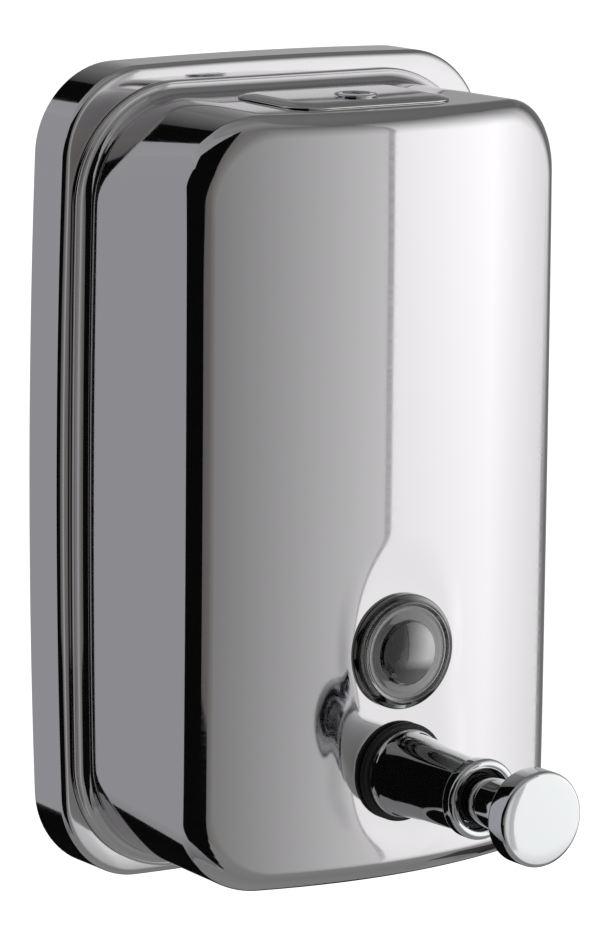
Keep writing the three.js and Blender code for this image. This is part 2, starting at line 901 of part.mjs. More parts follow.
const barrelFootDepth = -(washerThickness + 2 * seatGap);
const barrelTip = barrelFootDepth - barrelLength;
const lipBack = barrelTip + lipLength;
const boreFront = barrelTip + mouthBoreDepth;
const outletCut = rod(outletRadius, 0, barrelRadius + overrun)
  .rotateX(-Math.PI / 2)
  .translate(0, barrelTip + outletFromTip, 0);
piece(
  "pump_barrel",
  built(
    turned([
      [mouthBoreRadius, barrelTip],
      ...arc([lipRadius - lipEdge, barrelTip + lipEdge], lipEdge, -Math.PI / 2, 0),
      [lipRadius, lipBack - lipEdge],
      [barrelEndRadius, lipBack],
      [barrelRadius, barrelFootDepth - barrelFoot * 2],
      [barrelFootRadius, barrelFootDepth - barrelFoot],
      [barrelFootRadius, barrelFootDepth],
      [shankRadius, barrelFootDepth],
      [shankRadius, shankLength],
      [boreRadius, shankLength],
      [boreRadius, boreFront],
      [mouthBoreRadius, boreFront],
    ]),
    [],
    [outletCut],
  ),
  chrome,
  pump,
);

piece(
  "guide_bush",
  tube(
    stemRadius + seatGap,
    mouthBoreRadius - seatGap,
    barrelTip + bushInset,
    barrelTip + bushInset + bushLength,
    turnSteps,
  ),
  blackPlastic,
  pump,
);

const innerSeat = sheet + seatGap;
piece(
  "tank_washer",
  tube(washerBore, innerWasherRadius, innerSeat, innerSeat + innerWasherThickness),
  rubber,
  pump,
);
const nutBack = innerSeat + innerWasherThickness + seatGap;
piece(
  "pump_nut",
  facing(withHole(hexagon(pumpNutWidth), washerBore), nutBack + pumpNutThickness, nutBack),
  plainSteel,
  pump,
);

// Pump cylinder: a gland that fills the barrel's rear, then the bore that the piston runs in
const cylinderStart = shankLength + seatGap;
const glandStart = shankLength - glandLength;
const cylinderEnd = pumpSeatDepth - trayDepth - soapWay - capFloor - seatGap;
const glandEnd = cylinderStart + glandTail;
const rodHole = rodRadius + rodFit;
piece(
  "pump_cylinder",
  turned([
    [rodHole, glandStart],
    [boreRadius - seatGap, glandStart],
    [boreRadius - seatGap, cylinderStart],
    [cylinderRadius, cylinderStart],
    [cylinderRadius, cylinderEnd],
    [cylinderBore, cylinderEnd],
    [cylinderBore, glandEnd],
    [rodHole, glandEnd],
  ]),
  whitePlastic,
  pump,
);

// Plunger: knob, hollow stem and piston
const knobBack = barrelTip - knobGap;
const knobFront = knobBack - knobThickness;
const socketFloor = knobBack - spigotLength;
piece(
  "push_knob",
  turned([
    [0, knobFront - knobCrown],
    [(knobRadius - knobEdge) / 2, knobFront - (knobCrown * 3) / 4],
    ...arc([knobRadius - knobEdge, knobFront + knobEdge], knobEdge, -Math.PI / 2, 0),
    ...arc([knobRadius - knobEdge, knobBack - knobEdge], knobEdge, 0, Math.PI / 2),
    [spigotRadius + seatGap, knobBack],
    [spigotRadius + seatGap, socketFloor],
    [0, socketFloor],
  ]),
  chrome,
  pump,
);

const pistonFront = glandEnd + seatGap;
const pistonEnd = pistonFront + pistonLength;
const pistonSocket = pistonEnd - pistonFloor;
const rodEnd = pistonSocket - seatGap;
const neckEnd = knobBack + neckLength;
const seatStep = Math.sqrt(outletBallRadius ** 2 - outletSeatRadius ** 2);
const outletBallAt = pistonSocket - seatStep - rodFit;
const boreStep = Math.sqrt(outletBallRadius ** 2 - stemBore ** 2);
const rodBoreEnd = outletBallAt - boreStep - outletLift - rodFit;
const stemPortAt = neckEnd - stemPortFromNeck;
piece(
  "plunger_stem",
  built(
    turned([
      [0, socketFloor + seatGap],
      [spigotRadius, socketFloor + seatGap],
      [spigotRadius, knobBack + seatGap],
      [stemRadius, knobBack + seatGap],
      [stemRadius, neckEnd],
      [rodRadius, neckEnd],
      [rodRadius, rodEnd],
      [rodBore, rodEnd],
      [rodBore, rodBoreEnd],
      [stemBore, rodBoreEnd],
      [stemBore, stemPortAt - stemBoreBeyondPort],
      [0, stemPortAt - stemBoreBeyondPort],
    ]),
    [],
    [rod(stemPortRadius, 0, stemRadius + overrun).rotateX(-Math.PI / 2).translate(0, stemPortAt, 0)],
  ),
  chrome,
  pump,
);

const sealStart = pistonFront + sealFromFront;
const sealEnd = sealStart + sealLength + 2 * rodFit;
piece(
  "piston",
  turned(
    [
      [rodHole, pistonFront],
      [pistonRadius, pistonFront],
      [pistonRadius, sealStart],
      [sealGroove, sealStart],
      [sealGroove, sealEnd],
      [pistonRadius, sealEnd],
      [pistonRadius, pistonEnd],
      [outletSeatRadius, pistonEnd],
      [outletSeatRadius, pistonSocket],
      [rodHole, pistonSocket],
    ],
    smallTurnSteps,
  ),
  whitePlastic,
  pump,
);
piece(
  "piston_seal",
  tube(sealGroove + rodFit / 2, sealRadius, sealStart + rodFit, sealEnd - rodFit),
  rubber,
  pump,
);

// Valve balls
function ball(radius, at) {
  return new THREE.SphereGeometry(radius, smallTurnSteps, smallTurnSteps / 2).translate(0, at, 0);
}

piece("outlet_ball", ball(outletBallRadius, outletBallAt), plainSteel, pump);

const capInner = cylinderEnd + seatGap;
const inletStep = Math.sqrt(inletBallRadius ** 2 - inletSeatRadius ** 2);
const inletBallAt = capInner - inletStep - rodFit;
piece("inlet_ball", ball(inletBallRadius, inletBallAt), plainSteel, pump);

piece(
  "inlet_cap",
  turned([
    [cylinderRadius + seatGap, capInner - capOverlap],
    [capRadius, capInner - capOverlap],
    [capRadius, capInner + capFloor],
    [inletSeatRadius, capInner + capFloor],
    [inletSeatRadius, capInner],
    [cylinderRadius + seatGap, capInner],
  ]),
  whitePlastic,
  pump,
);

// Ball cage: a cup over the ball, with ports round its floor
const cageEnd = capInner - seatGap;
const cageRoof = inletBallAt - inletBallRadius - inletLift - rodFit;
const cageStart = cageRoof - cageFloor;
const cagePortCuts = Array.from({ length: cagePorts }, (unused, i) => {
  const angle = (i / cagePorts) * Math.PI * 2;
  return rod(cagePortRadius, cageStart - overrun, cageRoof + overrun)
    .translate(cagePortCircle * Math.cos(angle), 0, cagePortCircle * Math.sin(angle));
});
piece(
  "ball_cage",
  built(
    turned(
      [
        [0, cageStart],
        [cageRadius, cageStart],
        [cageRadius, cageEnd],
        [cageRadius - cageWall, cageEnd],
        [cageRadius - cageWall, cageRoof],
        [0, cageRoof],
      ],
      smallTurnSteps,
    ),
    [],
    cagePortCuts,
  ),
  whitePlastic,
  pump,
);

// Return spring between the piston and the cage
class Helix extends THREE.Curve {
  constructor(radius, start, end, turns) {
    super();
    Object.assign(this, { radius, start, end, turns });
  }
  getPoint(t, target = new THREE.Vector3()) {
    const angle = t * this.turns * Math.PI * 2;
    const along = this.start + (this.end - this.start) * t;
    return target.set(this.radius * Math.cos(angle), along, this.radius * Math.sin(angle));
  }
}

const springStart = pistonEnd + seatGap + wireRadius;
const springEnd = cageStart - seatGap - wireRadius;
const wireSection = shapeOf(arc([0, 0], wireRadius, 0, Math.PI * 2, wireSides).slice(1));
piece(
  "return_spring",
  new THREE.ExtrudeGeometry(wireSection, {
    steps: springTurns * springSteps,
    bevelEnabled: false,
    extrudePath: new Helix(springRadius, springStart, springEnd, springTurns),
  }),
  plainSteel,
  pump,
);

export default part;
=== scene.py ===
"""Looks for a wall-mounted soap dispenser in mirror-polished stainless steel.

Lengths are in millimetres until a mesh is made. X runs to the right as seen from the room,
Y into the wall and Z up, and the origin lies on the wall behind the middle of the tray.
"""

import math

import bmesh
import bpy
from mathutils import Matrix, Vector


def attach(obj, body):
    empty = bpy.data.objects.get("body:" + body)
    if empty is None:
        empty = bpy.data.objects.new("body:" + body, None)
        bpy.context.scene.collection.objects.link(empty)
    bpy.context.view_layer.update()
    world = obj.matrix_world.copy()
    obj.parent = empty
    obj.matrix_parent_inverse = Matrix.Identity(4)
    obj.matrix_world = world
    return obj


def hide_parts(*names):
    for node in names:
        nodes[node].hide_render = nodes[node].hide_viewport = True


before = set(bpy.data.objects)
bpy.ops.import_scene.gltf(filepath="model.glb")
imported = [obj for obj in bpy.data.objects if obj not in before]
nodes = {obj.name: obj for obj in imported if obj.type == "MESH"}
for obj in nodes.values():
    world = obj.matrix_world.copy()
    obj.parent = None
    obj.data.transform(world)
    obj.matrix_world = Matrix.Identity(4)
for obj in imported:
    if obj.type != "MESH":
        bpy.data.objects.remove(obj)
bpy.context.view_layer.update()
MM = 0.001
QUARTER = math.pi / 2


# Driving sizes, shared with the solids

SHEET = 1.0
WALL_GAP = 0.6
TRAY = dict(width=128.3, height=205.0, depth=14.7, corner=20.8, side_bow=2.5, end_bow=1.2)
TRAY_EDGE = 1.6
TANK = dict(width=107.7, height=190.2, drop=1.1, corner=17.4)
ROOT_CORNER, WIDTH_DRAFT, HEIGHT_DRAFT, ROOT_BOW = 26.0, 4.4, 0.8, 1.6
FRONT_DEPTH, FRONT_BOW, FRONT_CROWN = 58.8, 11.7, 0.4
SIDE_EDGE, END_EDGE, END_EDGE_SHARE = 4.5, 5.0, 0.7
FLANGE_WIDTH, FLANGE_THICKNESS, FLANGE_GAP = 3.2, 1.2, 0.25
FLANGE_BACK = -(TRAY["depth"] + FLANGE_GAP)
FLANGE_FRONT = FLANGE_BACK - FLANGE_THICKNESS
TOP_SLOPE = HEIGHT_DRAFT / (FRONT_DEPTH + FRONT_BOW - END_EDGE - TRAY["depth"])
PIVOT_FROM_WALL, PIVOT_DEPTH = 23.0, 3.6
PIVOT_HEIGHT = (
    TANK["height"] / 2 + HEIGHT_DRAFT - TANK["drop"]
    - TOP_SLOPE * (PIVOT_FROM_WALL - TRAY["depth"]) - PIVOT_DEPTH
)
HINGE = Matrix.Translation((0, -PIVOT_FROM_WALL, PIVOT_HEIGHT)) @ Matrix.Rotation(
    math.atan(TOP_SLOPE), 4, "X"
)
SIGHT, SIGHT_HOLE = (0, -70.2, -38.6), 10.4
PUMP, PUMP_HOLE = (0, -70.0, -68.8), 8.6


# Making meshes

SMOOTH_ANGLE = 38
ALIKE = 1e-6


def deselect():
    if bpy.context.mode != "OBJECT":
        bpy.ops.object.mode_set(mode="OBJECT")
    bpy.ops.object.select_all(action="DESELECT")


def pick(piece):
    deselect()
    piece.select_set(True)
    bpy.context.view_layer.objects.active = piece


def settle(piece):
    """Sets the object at the origin with its place in its mesh, faces outwards and shaded smooth"""
    pick(piece)
    bpy.ops.object.transform_apply(location=True, rotation=True, scale=True)
    bpy.ops.object.mode_set(mode="EDIT")
    bpy.ops.mesh.select_all(action="SELECT")
    bpy.ops.mesh.remove_doubles(threshold=ALIKE)
    bpy.ops.mesh.normals_make_consistent(inside=False)
    bpy.ops.object.mode_set(mode="OBJECT")
    bpy.ops.object.shade_smooth_by_angle(angle=math.radians(SMOOTH_ANGLE))
    return piece


def select_where(piece, kind, test):
    """In edit mode, selects only the edges or faces whose points all pass the test"""
    bpy.ops.mesh.select_all(action="DESELECT")
    mesh = bmesh.from_edit_mesh(piece.data)
    for part in getattr(mesh, kind):
        if all(test(vertex.co) for vertex in part.verts):
            part.select_set(True)
    mesh.select_flush_mode()
    bmesh.update_edit_mesh(piece.data)


def apply_modifier(piece, kind, **settings):
    pick(piece)
    modifier = piece.modifiers.new(kind.lower(), kind)
    for key, value in settings.items():
        setattr(modifier, key, value)
    bpy.ops.object.modifier_apply(modifier=modifier.name)


def round_points(centre, radius, start, end, steps=8):
    """Points on a round from one angle to another, angles in quarter turns"""
    turns = [start + (end - start) * i / steps for i in range(steps + 1)]
    return [
        (centre[0] + radius * math.cos(t * QUARTER), centre[1] + radius * math.sin(t * QUARTER))
        for t in turns
    ]


def turned(name, profile, middle, sides=128):
    """A piece turned about a line along Y: a circle extruded and resized to each (radius, depth),
    whose depth is measured from the middle and falls below zero towards the room"""
    deselect()
    solid_start = profile[0][0] == 0
    points = list(profile[1:] if solid_start else profile + [profile[0]])
    if solid_start and profile[-1][0] > 0:
        raise ValueError(name + " starts on its axis and has to end there")
    radius, depth = points[0]
    x, y, z = (value * MM for value in middle)
    bpy.ops.mesh.primitive_circle_add(
        vertices=sides,
        radius=radius * MM,
        fill_type="TRIFAN" if solid_start else "NOTHING",
        location=(x, y + depth * MM, z),
        rotation=(QUARTER, 0, 0),
    )
    piece = bpy.context.object
    piece.name = name
    bpy.ops.object.transform_apply(location=True, rotation=True, scale=True)
    if solid_start:
        hub = min(piece.data.vertices, key=lambda v: math.hypot(v.co.x - x, v.co.z - z))
        hub.co.y = y + profile[0][1] * MM
    bpy.ops.object.mode_set(mode="EDIT")
    bpy.ops.mesh.select_mode(type="EDGE")
    bpy.ops.mesh.select_all(action="DESELECT")
    bpy.ops.mesh.select_non_manifold()
    for new_radius, new_depth in points[1:]:
        bpy.ops.mesh.extrude_region_move(
            TRANSFORM_OT_translate={"value": (0, (new_depth - depth) * MM, 0)}
        )
        if new_radius == 0:
            bpy.ops.mesh.merge(type="CENTER")
            break
        share = new_radius / radius
        bpy.ops.transform.resize(
            value=(share, 1, share), center_override=(x, y + new_depth * MM, z)
        )
        radius, depth = new_radius, new_depth
    return settle(piece)


def cut(piece, cutters):
    """Cuts joined cutters out of a piece and removes them"""
    pick(cutters[0])
    for cutter in cutters[1:]:
        cutter.select_set(True)
    if len(cutters) > 1:
        bpy.ops.object.join()
    tool = bpy.context.object
    apply_modifier(piece, "BOOLEAN", object=tool, operation="DIFFERENCE", solver="EXACT")
    bpy.data.objects.remove(tool)


def drill(radius, start, end, middle, sides=96):
    """A cutter along Y"""
    x, y, z = (value * MM for value in middle)
    deselect()
    bpy.ops.mesh.primitive_cylinder_add(
        vertices=sides,
        radius=radius * MM,
        depth=(end - start) * MM,
        location=(x, y + (start + end) / 2 * MM, z),
        rotation=(QUARTER, 0, 0),
    )
    bpy.ops.object.transform_apply(location=True, rotation=True, scale=True)
    return bpy.context.object


# Drawn shells
# No operator gives a bowed front with an edge radius that changes along it, so the tray and the
# tank are lofted from rings, each an outline with the same number of points.

CORNER_STEPS, SIDE_STEPS, END_STEPS, EDGE_STEPS = 20, 64, 44, 12


def outline(half_width, half_height, corner, side_bow=0.0, end_bow=0.0):
    flat = []
    for k, (sign_x, sign_z) in enumerate(((1, 1), (-1, 1), (-1, -1), (1, -1))):
        for i in range(CORNER_STEPS + 1):
            step = i if sign_x * sign_z > 0 else CORNER_STEPS - i
            turn = step / CORNER_STEPS * QUARTER
            x = sign_x * (half_width - corner + corner * math.cos(turn))
            z = sign_z * (half_height - corner + corner * math.sin(turn))
            flat.append((x, z))
        x, z = flat[-1]
        steps = END_STEPS if k % 2 == 0 else SIDE_STEPS
        for i in range(1, steps):
            share = 1 - 2 * i / steps
            flat.append((x * share, z) if k % 2 == 0 else (x, z * share))
    points = []
    for x, z in flat:
        side = min(1, abs(x) / (half_width - corner)) * (z / half_height) ** 2
        end = min(1, abs(z) / (half_height - corner)) * (x / half_width) ** 2
        points.append((x - math.copysign(side_bow * side, x), z - math.copysign(end_bow * end, z)))
    return points


def lofted(name, rings, first_middle, last_middle):
    """A closed skin over rings of (x, y, z), its ends fanned to two middle points"""
    mesh = bpy.data.meshes.new(name)
    count = len(rings[0])
    points = [point for ring in rings for point in ring] + [first_middle, last_middle]
    first, last = len(points) - 2, len(points) - 1
    faces = []
    end = (len(rings) - 1) * count
    for i in range(count):
        following = (i + 1) % count
        faces.append((first, i, following))
        faces.append((last, end + following, end + i))
        for ring in range(0, end, count):
            faces.append((ring + i, ring + count + i, ring + count + following, ring + following))
    mesh.from_pydata([tuple(value * MM for value in point) for point in points], [], faces)
    piece = bpy.data.objects.new(name, mesh)
    bpy.context.scene.collection.objects.link(piece)
    return settle(piece)


def tray_outline(inset):
    return outline(
        TRAY["width"] / 2 - inset,
        TRAY["height"] / 2 - inset,
        TRAY["corner"] - inset,
        TRAY["side_bow"],
        TRAY["end_bow"],
    )


def level(points, y):
    return [(x, y, z) for x, z in points]


RIM_FALL, RIM_WIDTH, EDGE_FALL_SHARE = 0.14, 5.0, 0.45
RIM_SHARES = (1, 0.88, 0.76, 0.64, 0.52, 0.42)
TRAY_OUTER_SHARES, TRAY_INNER_SHARES = (0.87, 0.61, 0.34, 0.08), (0.08, 0.41, 0.82)


def tray_edge(inward):
    radius = max(TRAY_EDGE - inward, TRAY_EDGE / 2)
    start = RIM_FALL * EDGE_FALL_SHARE - (TRAY["depth"] - inward - radius)
    return [
        level(tray_outline(inward + radius - out), start - up)
        for out, up in round_points((0, 0), radius, 0, 1, EDGE_STEPS)
    ]


def make_tray():
    """The tray, its face falling away a little towards the rim"""
    depth = TRAY["depth"]
    rings = [
        level(tray_outline(RIM_WIDTH * share), -depth + RIM_FALL * (1 - share) ** 2)
        for share in RIM_SHARES
    ]
    rings += tray_edge(0)[::-1]
    rings += [level(tray_outline(0), -depth * share) for share in TRAY_OUTER_SHARES]
    rings += [level(tray_outline(inset), -WALL_GAP) for inset in (0, SHEET)]
    rings += [level(tray_outline(SHEET), -depth * share) for share in TRAY_INNER_SHARES]
    rings += tray_edge(SHEET)
    rings += [level(tray_outline(RIM_WIDTH), SHEET - depth)]
    return lofted("tray", rings, (0, -depth, 0), (0, SHEET - depth, 0))


# Each seat is pressed flat to a radius and fades into the bowed front, more slowly above itself
SEATS = (dict(middle=SIGHT, flat=14.6, fade=4.0), dict(middle=PUMP, flat=13.2, fade=8.0))
SEAT_LEAD_IN = 11.0


def front_at(x, z):
    """The depth of the bowed front, pressed flat round the sight glass and the pump"""
    bow = FRONT_BOW * (1 - (x / (TANK["width"] / 2)) ** 2)
    crown = FRONT_CROWN * (1 - ((z + TANK["drop"]) / (TANK["height"] / 2)) ** 2)
    depth = -(FRONT_DEPTH + bow + crown)
    for place in SEATS:
        _, seat, height = place["middle"]
        reach = math.hypot(x, z - height)
        above = max(0, z - height) / max(reach, place["flat"])
        fade = place["fade"] + SEAT_LEAD_IN * above ** 2
        away = min(1, max(0, (reach - place["flat"]) / fade))
        depth += (seat - depth) * (1 - away * away * (3 - 2 * away))
    return depth


def tank_outline(inward, draft):
    return outline(
        TANK["width"] / 2 + WIDTH_DRAFT * draft - inward,
        TANK["height"] / 2 + HEIGHT_DRAFT * draft - inward,
        TANK["corner"] + (ROOT_CORNER - TANK["corner"]) * draft - inward,
        ROOT_BOW * draft,
    )


def front_edge(inward, turn):
    """One ring of the rounded front edge, from the side wall at 0 to the front at 1"""
    half_width = TANK["width"] / 2 - inward
    half_height = TANK["height"] / 2 - inward
    drawn = 1 - math.cos(turn * QUARTER)
    ring = []
    for x, z in tank_outline(inward, 0):
        share = abs(z) / half_height
        end = min(1, max(0, (share - END_EDGE_SHARE) / (1 - END_EDGE_SHARE)))
        edge = SIDE_EDGE * (1 - end) + END_EDGE * end - inward
        x *= 1 - (SIDE_EDGE - inward) * drawn / half_width
        z = z * (1 - (END_EDGE - inward) * drawn / half_height) - TANK["drop"]
        rise = edge * (1 - math.sin(turn * QUARTER))
        ring.append((x, front_at(x, z) + inward + rise, z))
    return ring


def front_rings(inward, shares):
    rings = []
    for share in shares:
        ring = []
        for x, _, z in front_edge(inward, 1):
            x *= share
            z = (z + TANK["drop"]) * share - TANK["drop"]
            ring.append((x, front_at(x, z) + inward, z))
        rings.append(ring)
    return rings


def side_wall(inward, share):
    """The ruled wall, from its root at the tray's face at 0 to the front edge at 1"""
    roots = tank_outline(inward, 1)
    return [
        tuple(
            a + (b - a) * share
            for a, b in zip((x, -TRAY["depth"], z - TANK["drop"]), front)
        )
        for (x, z), front in zip(roots, front_edge(inward, 0))
    ]


ROOT_RADIUS, FLANGE_EDGE, FLANGE_FALL, FLANGE_STEPS = 2.4, 0.5, 0.05, 16
GROOVE_DEPTH, GROOVE_PLACE_SHARE, GROOVE_WIDTH_SHARE = 0.1, 0.35, 0.3


def flange_rings():
    """From the rounded root over the flange's groove to its edge and its back"""
    wall = []
    for root, front in zip(side_wall(0, 0), front_edge(0, 0)):
        share = (FLANGE_FRONT - ROOT_RADIUS - root[1]) / (front[1] - root[1])
        wall.append([a + (b - a) * share for a, b in zip(root, front)])
    ways = []
    for point, (x, z) in zip(wall, tank_outline(-FLANGE_WIDTH, 1)):
        way = Vector((x - point[0], 0, z - TANK["drop"] - point[2]))
        ways.append((way.normalized(), way.length))

    def ring(y, share, extra):
        """A ring at a share of the way out from the root radius to the edge, and then extra"""
        flat = ROOT_RADIUS + FLANGE_EDGE
        reaches = [(length - flat) * share + extra for _, length in ways]
        return [
            (point[0] + way.x * reach, y, point[2] + way.z * reach)
            for point, (way, _), reach in zip(wall, ways, reaches)
        ]

    rings = [
        ring(FLANGE_FRONT - ROOT_RADIUS + up, 0, out)
        for out, up in round_points((ROOT_RADIUS, 0), ROOT_RADIUS, 2, 1, EDGE_STEPS)
    ]
    for step in range(1, FLANGE_STEPS + 1):
        share = step / FLANGE_STEPS
        across = (share - GROOVE_PLACE_SHARE) / GROOVE_WIDTH_SHARE
        groove = GROOVE_DEPTH * max(0, 1 - across ** 2) ** 1.5
        rings.append(ring(FLANGE_FRONT + groove + FLANGE_FALL * share, share, ROOT_RADIUS))
    edge = FLANGE_FRONT + FLANGE_FALL + FLANGE_EDGE
    for out, up in round_points((0, 0), FLANGE_EDGE, 1, 0, 5)[1:]:
        rings.append(ring(edge - up, 1, ROOT_RADIUS + out))
    rings.append(ring(FLANGE_BACK, 1, ROOT_RADIUS + FLANGE_EDGE))
    return rings


FRONT_SHARES = [0.004] + [i / SIDE_STEPS for i in range(1, SIDE_STEPS)] + [0.995]
WALL_SHARES, INNER_WALL_SHARES = (0.99, 0.95, 0.8, 0.6, 0.4, 0.2, 0.1), (0.2, 0.6, 0.95)
INNER_STEPS = 16
CUT_FRONT, CUT_BACK = -4.0, 3.0
FILLER_MOUTH = dict(width=40.0, depth=25.0, corner=2.5, from_pivot=19.7, cut=5.0, sunk=0.5)


def make_tank():
    turns = [i / EDGE_STEPS for i in range(EDGE_STEPS + 1)]
    rings = front_rings(0, FRONT_SHARES)
    rings += [front_edge(0, turn) for turn in reversed(turns)]
    rings += [side_wall(0, share) for share in WALL_SHARES]
    rings += flange_rings()
    rings.append([(x, FLANGE_BACK, z) for x, _, z in side_wall(SHEET, 0)])
    rings += [side_wall(SHEET, share) for share in INNER_WALL_SHARES]
    rings += [front_edge(SHEET, turn) for turn in turns[::3]]
    rings += front_rings(SHEET, [i / INNER_STEPS for i in range(INNER_STEPS - 1, 0, -1)])
    drop = -TANK["drop"]
    crown = front_at(0, drop)
    tank = lofted("tank", rings, (0, crown, drop), (0, crown + SHEET, drop))
    holes = [
        drill(radius, CUT_FRONT, CUT_BACK, middle)
        for radius, middle in ((SIGHT_HOLE, SIGHT), (PUMP_HOLE, PUMP))
    ]
    cut(tank, holes + [mouth_cutter()])
    return settle(tank)


def mouth_cutter():
    deselect()
    size = (FILLER_MOUTH["width"] * MM, FILLER_MOUTH["depth"] * MM, FILLER_MOUTH["cut"] * MM)
    bpy.ops.mesh.primitive_cube_add(size=1, scale=size)
    cutter = bpy.context.object
    bpy.ops.object.transform_apply(location=True, rotation=True, scale=True)
    round_upright_edges(cutter, FILLER_MOUTH["corner"], 8)
    place = Matrix.Translation((0, -FILLER_MOUTH["from_pivot"], PIVOT_DEPTH - FILLER_MOUTH["sunk"]))
    cutter.data.transform(matrix_in_metres(HINGE @ place))
    return cutter


def matrix_in_metres(matrix):
    moved = matrix.copy()
    moved.translation = moved.translation * MM
    return moved


def round_upright_edges(piece, radius, segments):
    """Bevels the edges that stand along Z"""
    pick(piece)
    bpy.ops.object.mode_set(mode="EDIT")
    bpy.ops.mesh.select_mode(type="EDGE")
    bpy.ops.mesh.select_all(action="DESELECT")
    mesh = bmesh.from_edit_mesh(piece.data)
    for edge in mesh.edges:
        a, b = (vertex.co for vertex in edge.verts)
        if math.hypot(a.x - b.x, a.y - b.y) < ALIKE:
            edge.select_set(True)
    bmesh.update_edit_mesh(piece.data)
    bpy.ops.mesh.bevel(offset=radius * MM, segments=segments, affect="EDGES")
    bpy.ops.object.mode_set(mode="OBJECT")


tray = make_tray()
tank = make_tank()


# Sight glass: a domed window in a ring that steps down to a rolled rim

WINDOW = dict(radius=7.4, edge=0.4, out=3.45, rise=1.15, full=7.9)
WINDOW_RADII = [*range(8), WINDOW["radius"]]
STEP = dict(start=7.95, end=11.0, out=2.4, rise=0.4)
STEP_SHARES = ((0, 1), (0.082, 0.425), (0.213, 0.35), (0.475, 0.275), (0.738, 0.175), (1, 0))
BEAD = dict(middle=(11.5, -2.83), radius=0.4)
VALLEY = dict(middle=(12.3, -2.5), radius=0.35)
ROLL = dict(middle=(13.6, -1.1), radius=0.75, start=((13.0, -2.3), (13.45, -1.95)))
GLASS_FOOT, GLASS_FACE_BACK, GLASS_SEAT = -0.25, -1.4, 13.65
NECK = dict(radius=10.0, bore=7.6, end=9.0)
NECK_FLOOR = ((7.6, -1.2), (7.2, -1.6), (5.0, -1.85), (2.5, -2.0), (0, -2.05))


def make_sight_glass():
    out, rise, full, edge = (WINDOW[key] for key in ("out", "rise", "full", "edge"))
    dome = [(r, -(out + rise * (1 - (r / full) ** 2))) for r in WINDOW_RADII]
    width, fall = STEP["end"] - STEP["start"], STEP["rise"]
    steps = [(STEP["start"] + width * a, -STEP["out"] - fall * b) for a, b in STEP_SHARES]
    face = round_points((WINDOW["radius"], dome[-1][1] + edge), edge, -1, 0, 5) + steps
    face += round_points(BEAD["middle"], BEAD["radius"], 1.3, 0.7, 4)
    face += round_points(VALLEY["middle"], VALLEY["radius"], -1.3, -0.4, 6)
    face += list(ROLL["start"]) + round_points(ROLL["middle"], ROLL["radius"], -0.75, 0, 8)
    rim = ROLL["middle"][0] + ROLL["radius"]
    back = [(rim, GLASS_FOOT), (GLASS_SEAT, GLASS_FOOT), (GLASS_SEAT, GLASS_FACE_BACK)]
    back += [(NECK["radius"], GLASS_FACE_BACK), (NECK["radius"], NECK["end"])]
    back += [(NECK["bore"], NECK["end"])]
    return turned("sight_glass", dome + face + back + list(NECK_FLOOR), SIGHT, 144)


sight_glass = make_sight_glass()


# Pump: rubber ring, barrel, stem and knob, turned about one line out from the tank

RING = dict(radius=12.3, bore=8.55, thickness=2.5, edge=0.7, sunk=0.25)
BARREL_LENGTH, PLUNGER_OUT = 32.8, 16.8
FOOT = -RING["thickness"]
TIP = FOOT - BARREL_LENGTH
KNOB_BACK = TIP - PLUNGER_OUT


def make_ring():
    edge = RING["edge"]
    middle = RING["radius"] - edge
    front, back = FOOT + RING["sunk"], -RING["sunk"]
    outer = round_points((middle, front + edge), edge, -1, 0, 6)
    outer += round_points((middle, back - edge), edge, 0, 1, 6)
    return turned("rubber_ring", [(RING["bore"], front)] + outer + [(RING["bore"], back)], PUMP)


BARREL = dict(foot=11.0, foot_edge=0.4, foot_round=0.75, spigot=8.3, spigot_end=13.0, bore=7.2)
NOSE_BORE, NOSE_DEPTH, NOSE_EDGE = 7.7, 5.0, ((0, 0.4), (0.1, 0.15), (0.35, 0))
LIP = dict(radius=9.95, length=4.0, front_round=1.1, back_round=0.8)
LIP_ROOT = dict(middle=9.32, back=0.35, radius=0.3)
# The barrel's taper as its radius and how far that lies from the lip's back or the foot
TAPER_FROM_LIP = (9.06, 1.2)
TAPER_FROM_FOOT = ((9.5, 14.0), (10.0, 8.5), (10.42, 3.2), (10.55, 2.0))
OUTLET = dict(radius=1.9, from_tip=9.0, below_middle=9.0, cut=12.0)


def make_barrel():
    lip_back = TIP + LIP["length"]
    front, back = LIP["front_round"], LIP["back_round"]
    profile = [(NOSE_BORE + out, TIP + deep) for out, deep in NOSE_EDGE]
    profile += round_points((LIP["radius"] - front, TIP + front), front, -1, 0, 10)
    profile += round_points((LIP["radius"] - back, lip_back - back), back, 0, 0.85, 7)
    root = (LIP_ROOT["middle"], lip_back + LIP_ROOT["back"])
    profile += round_points(root, LIP_ROOT["radius"], -1.7, -2, 3)
    profile += [(TAPER_FROM_LIP[0], lip_back + TAPER_FROM_LIP[1])]
    profile += [(radius, FOOT - away) for radius, away in TAPER_FROM_FOOT]
    foot = (BARREL["foot"] - BARREL["foot_edge"], FOOT - BARREL["foot_round"])
    profile += round_points(foot, BARREL["foot_edge"], -0.6, 0, 4)
    spigot, spigot_end, bore = (BARREL[key] for key in ("spigot", "spigot_end", "bore"))
    profile += [(BARREL["foot"], FOOT), (spigot, FOOT), (spigot, spigot_end), (bore, spigot_end)]
    profile += [(bore, TIP + NOSE_DEPTH), (NOSE_BORE, TIP + NOSE_DEPTH)]
    barrel = turned("barrel", profile, PUMP)
    x, y, z = (value * MM for value in PUMP)
    deselect()
    bpy.ops.mesh.primitive_cylinder_add(
        vertices=48,
        radius=OUTLET["radius"] * MM,
        depth=OUTLET["cut"] * MM,
        location=(x, y + (TIP + OUTLET["from_tip"]) * MM, z - OUTLET["below_middle"] * MM),
    )
    cut(barrel, [bpy.context.object])
    return settle(barrel)


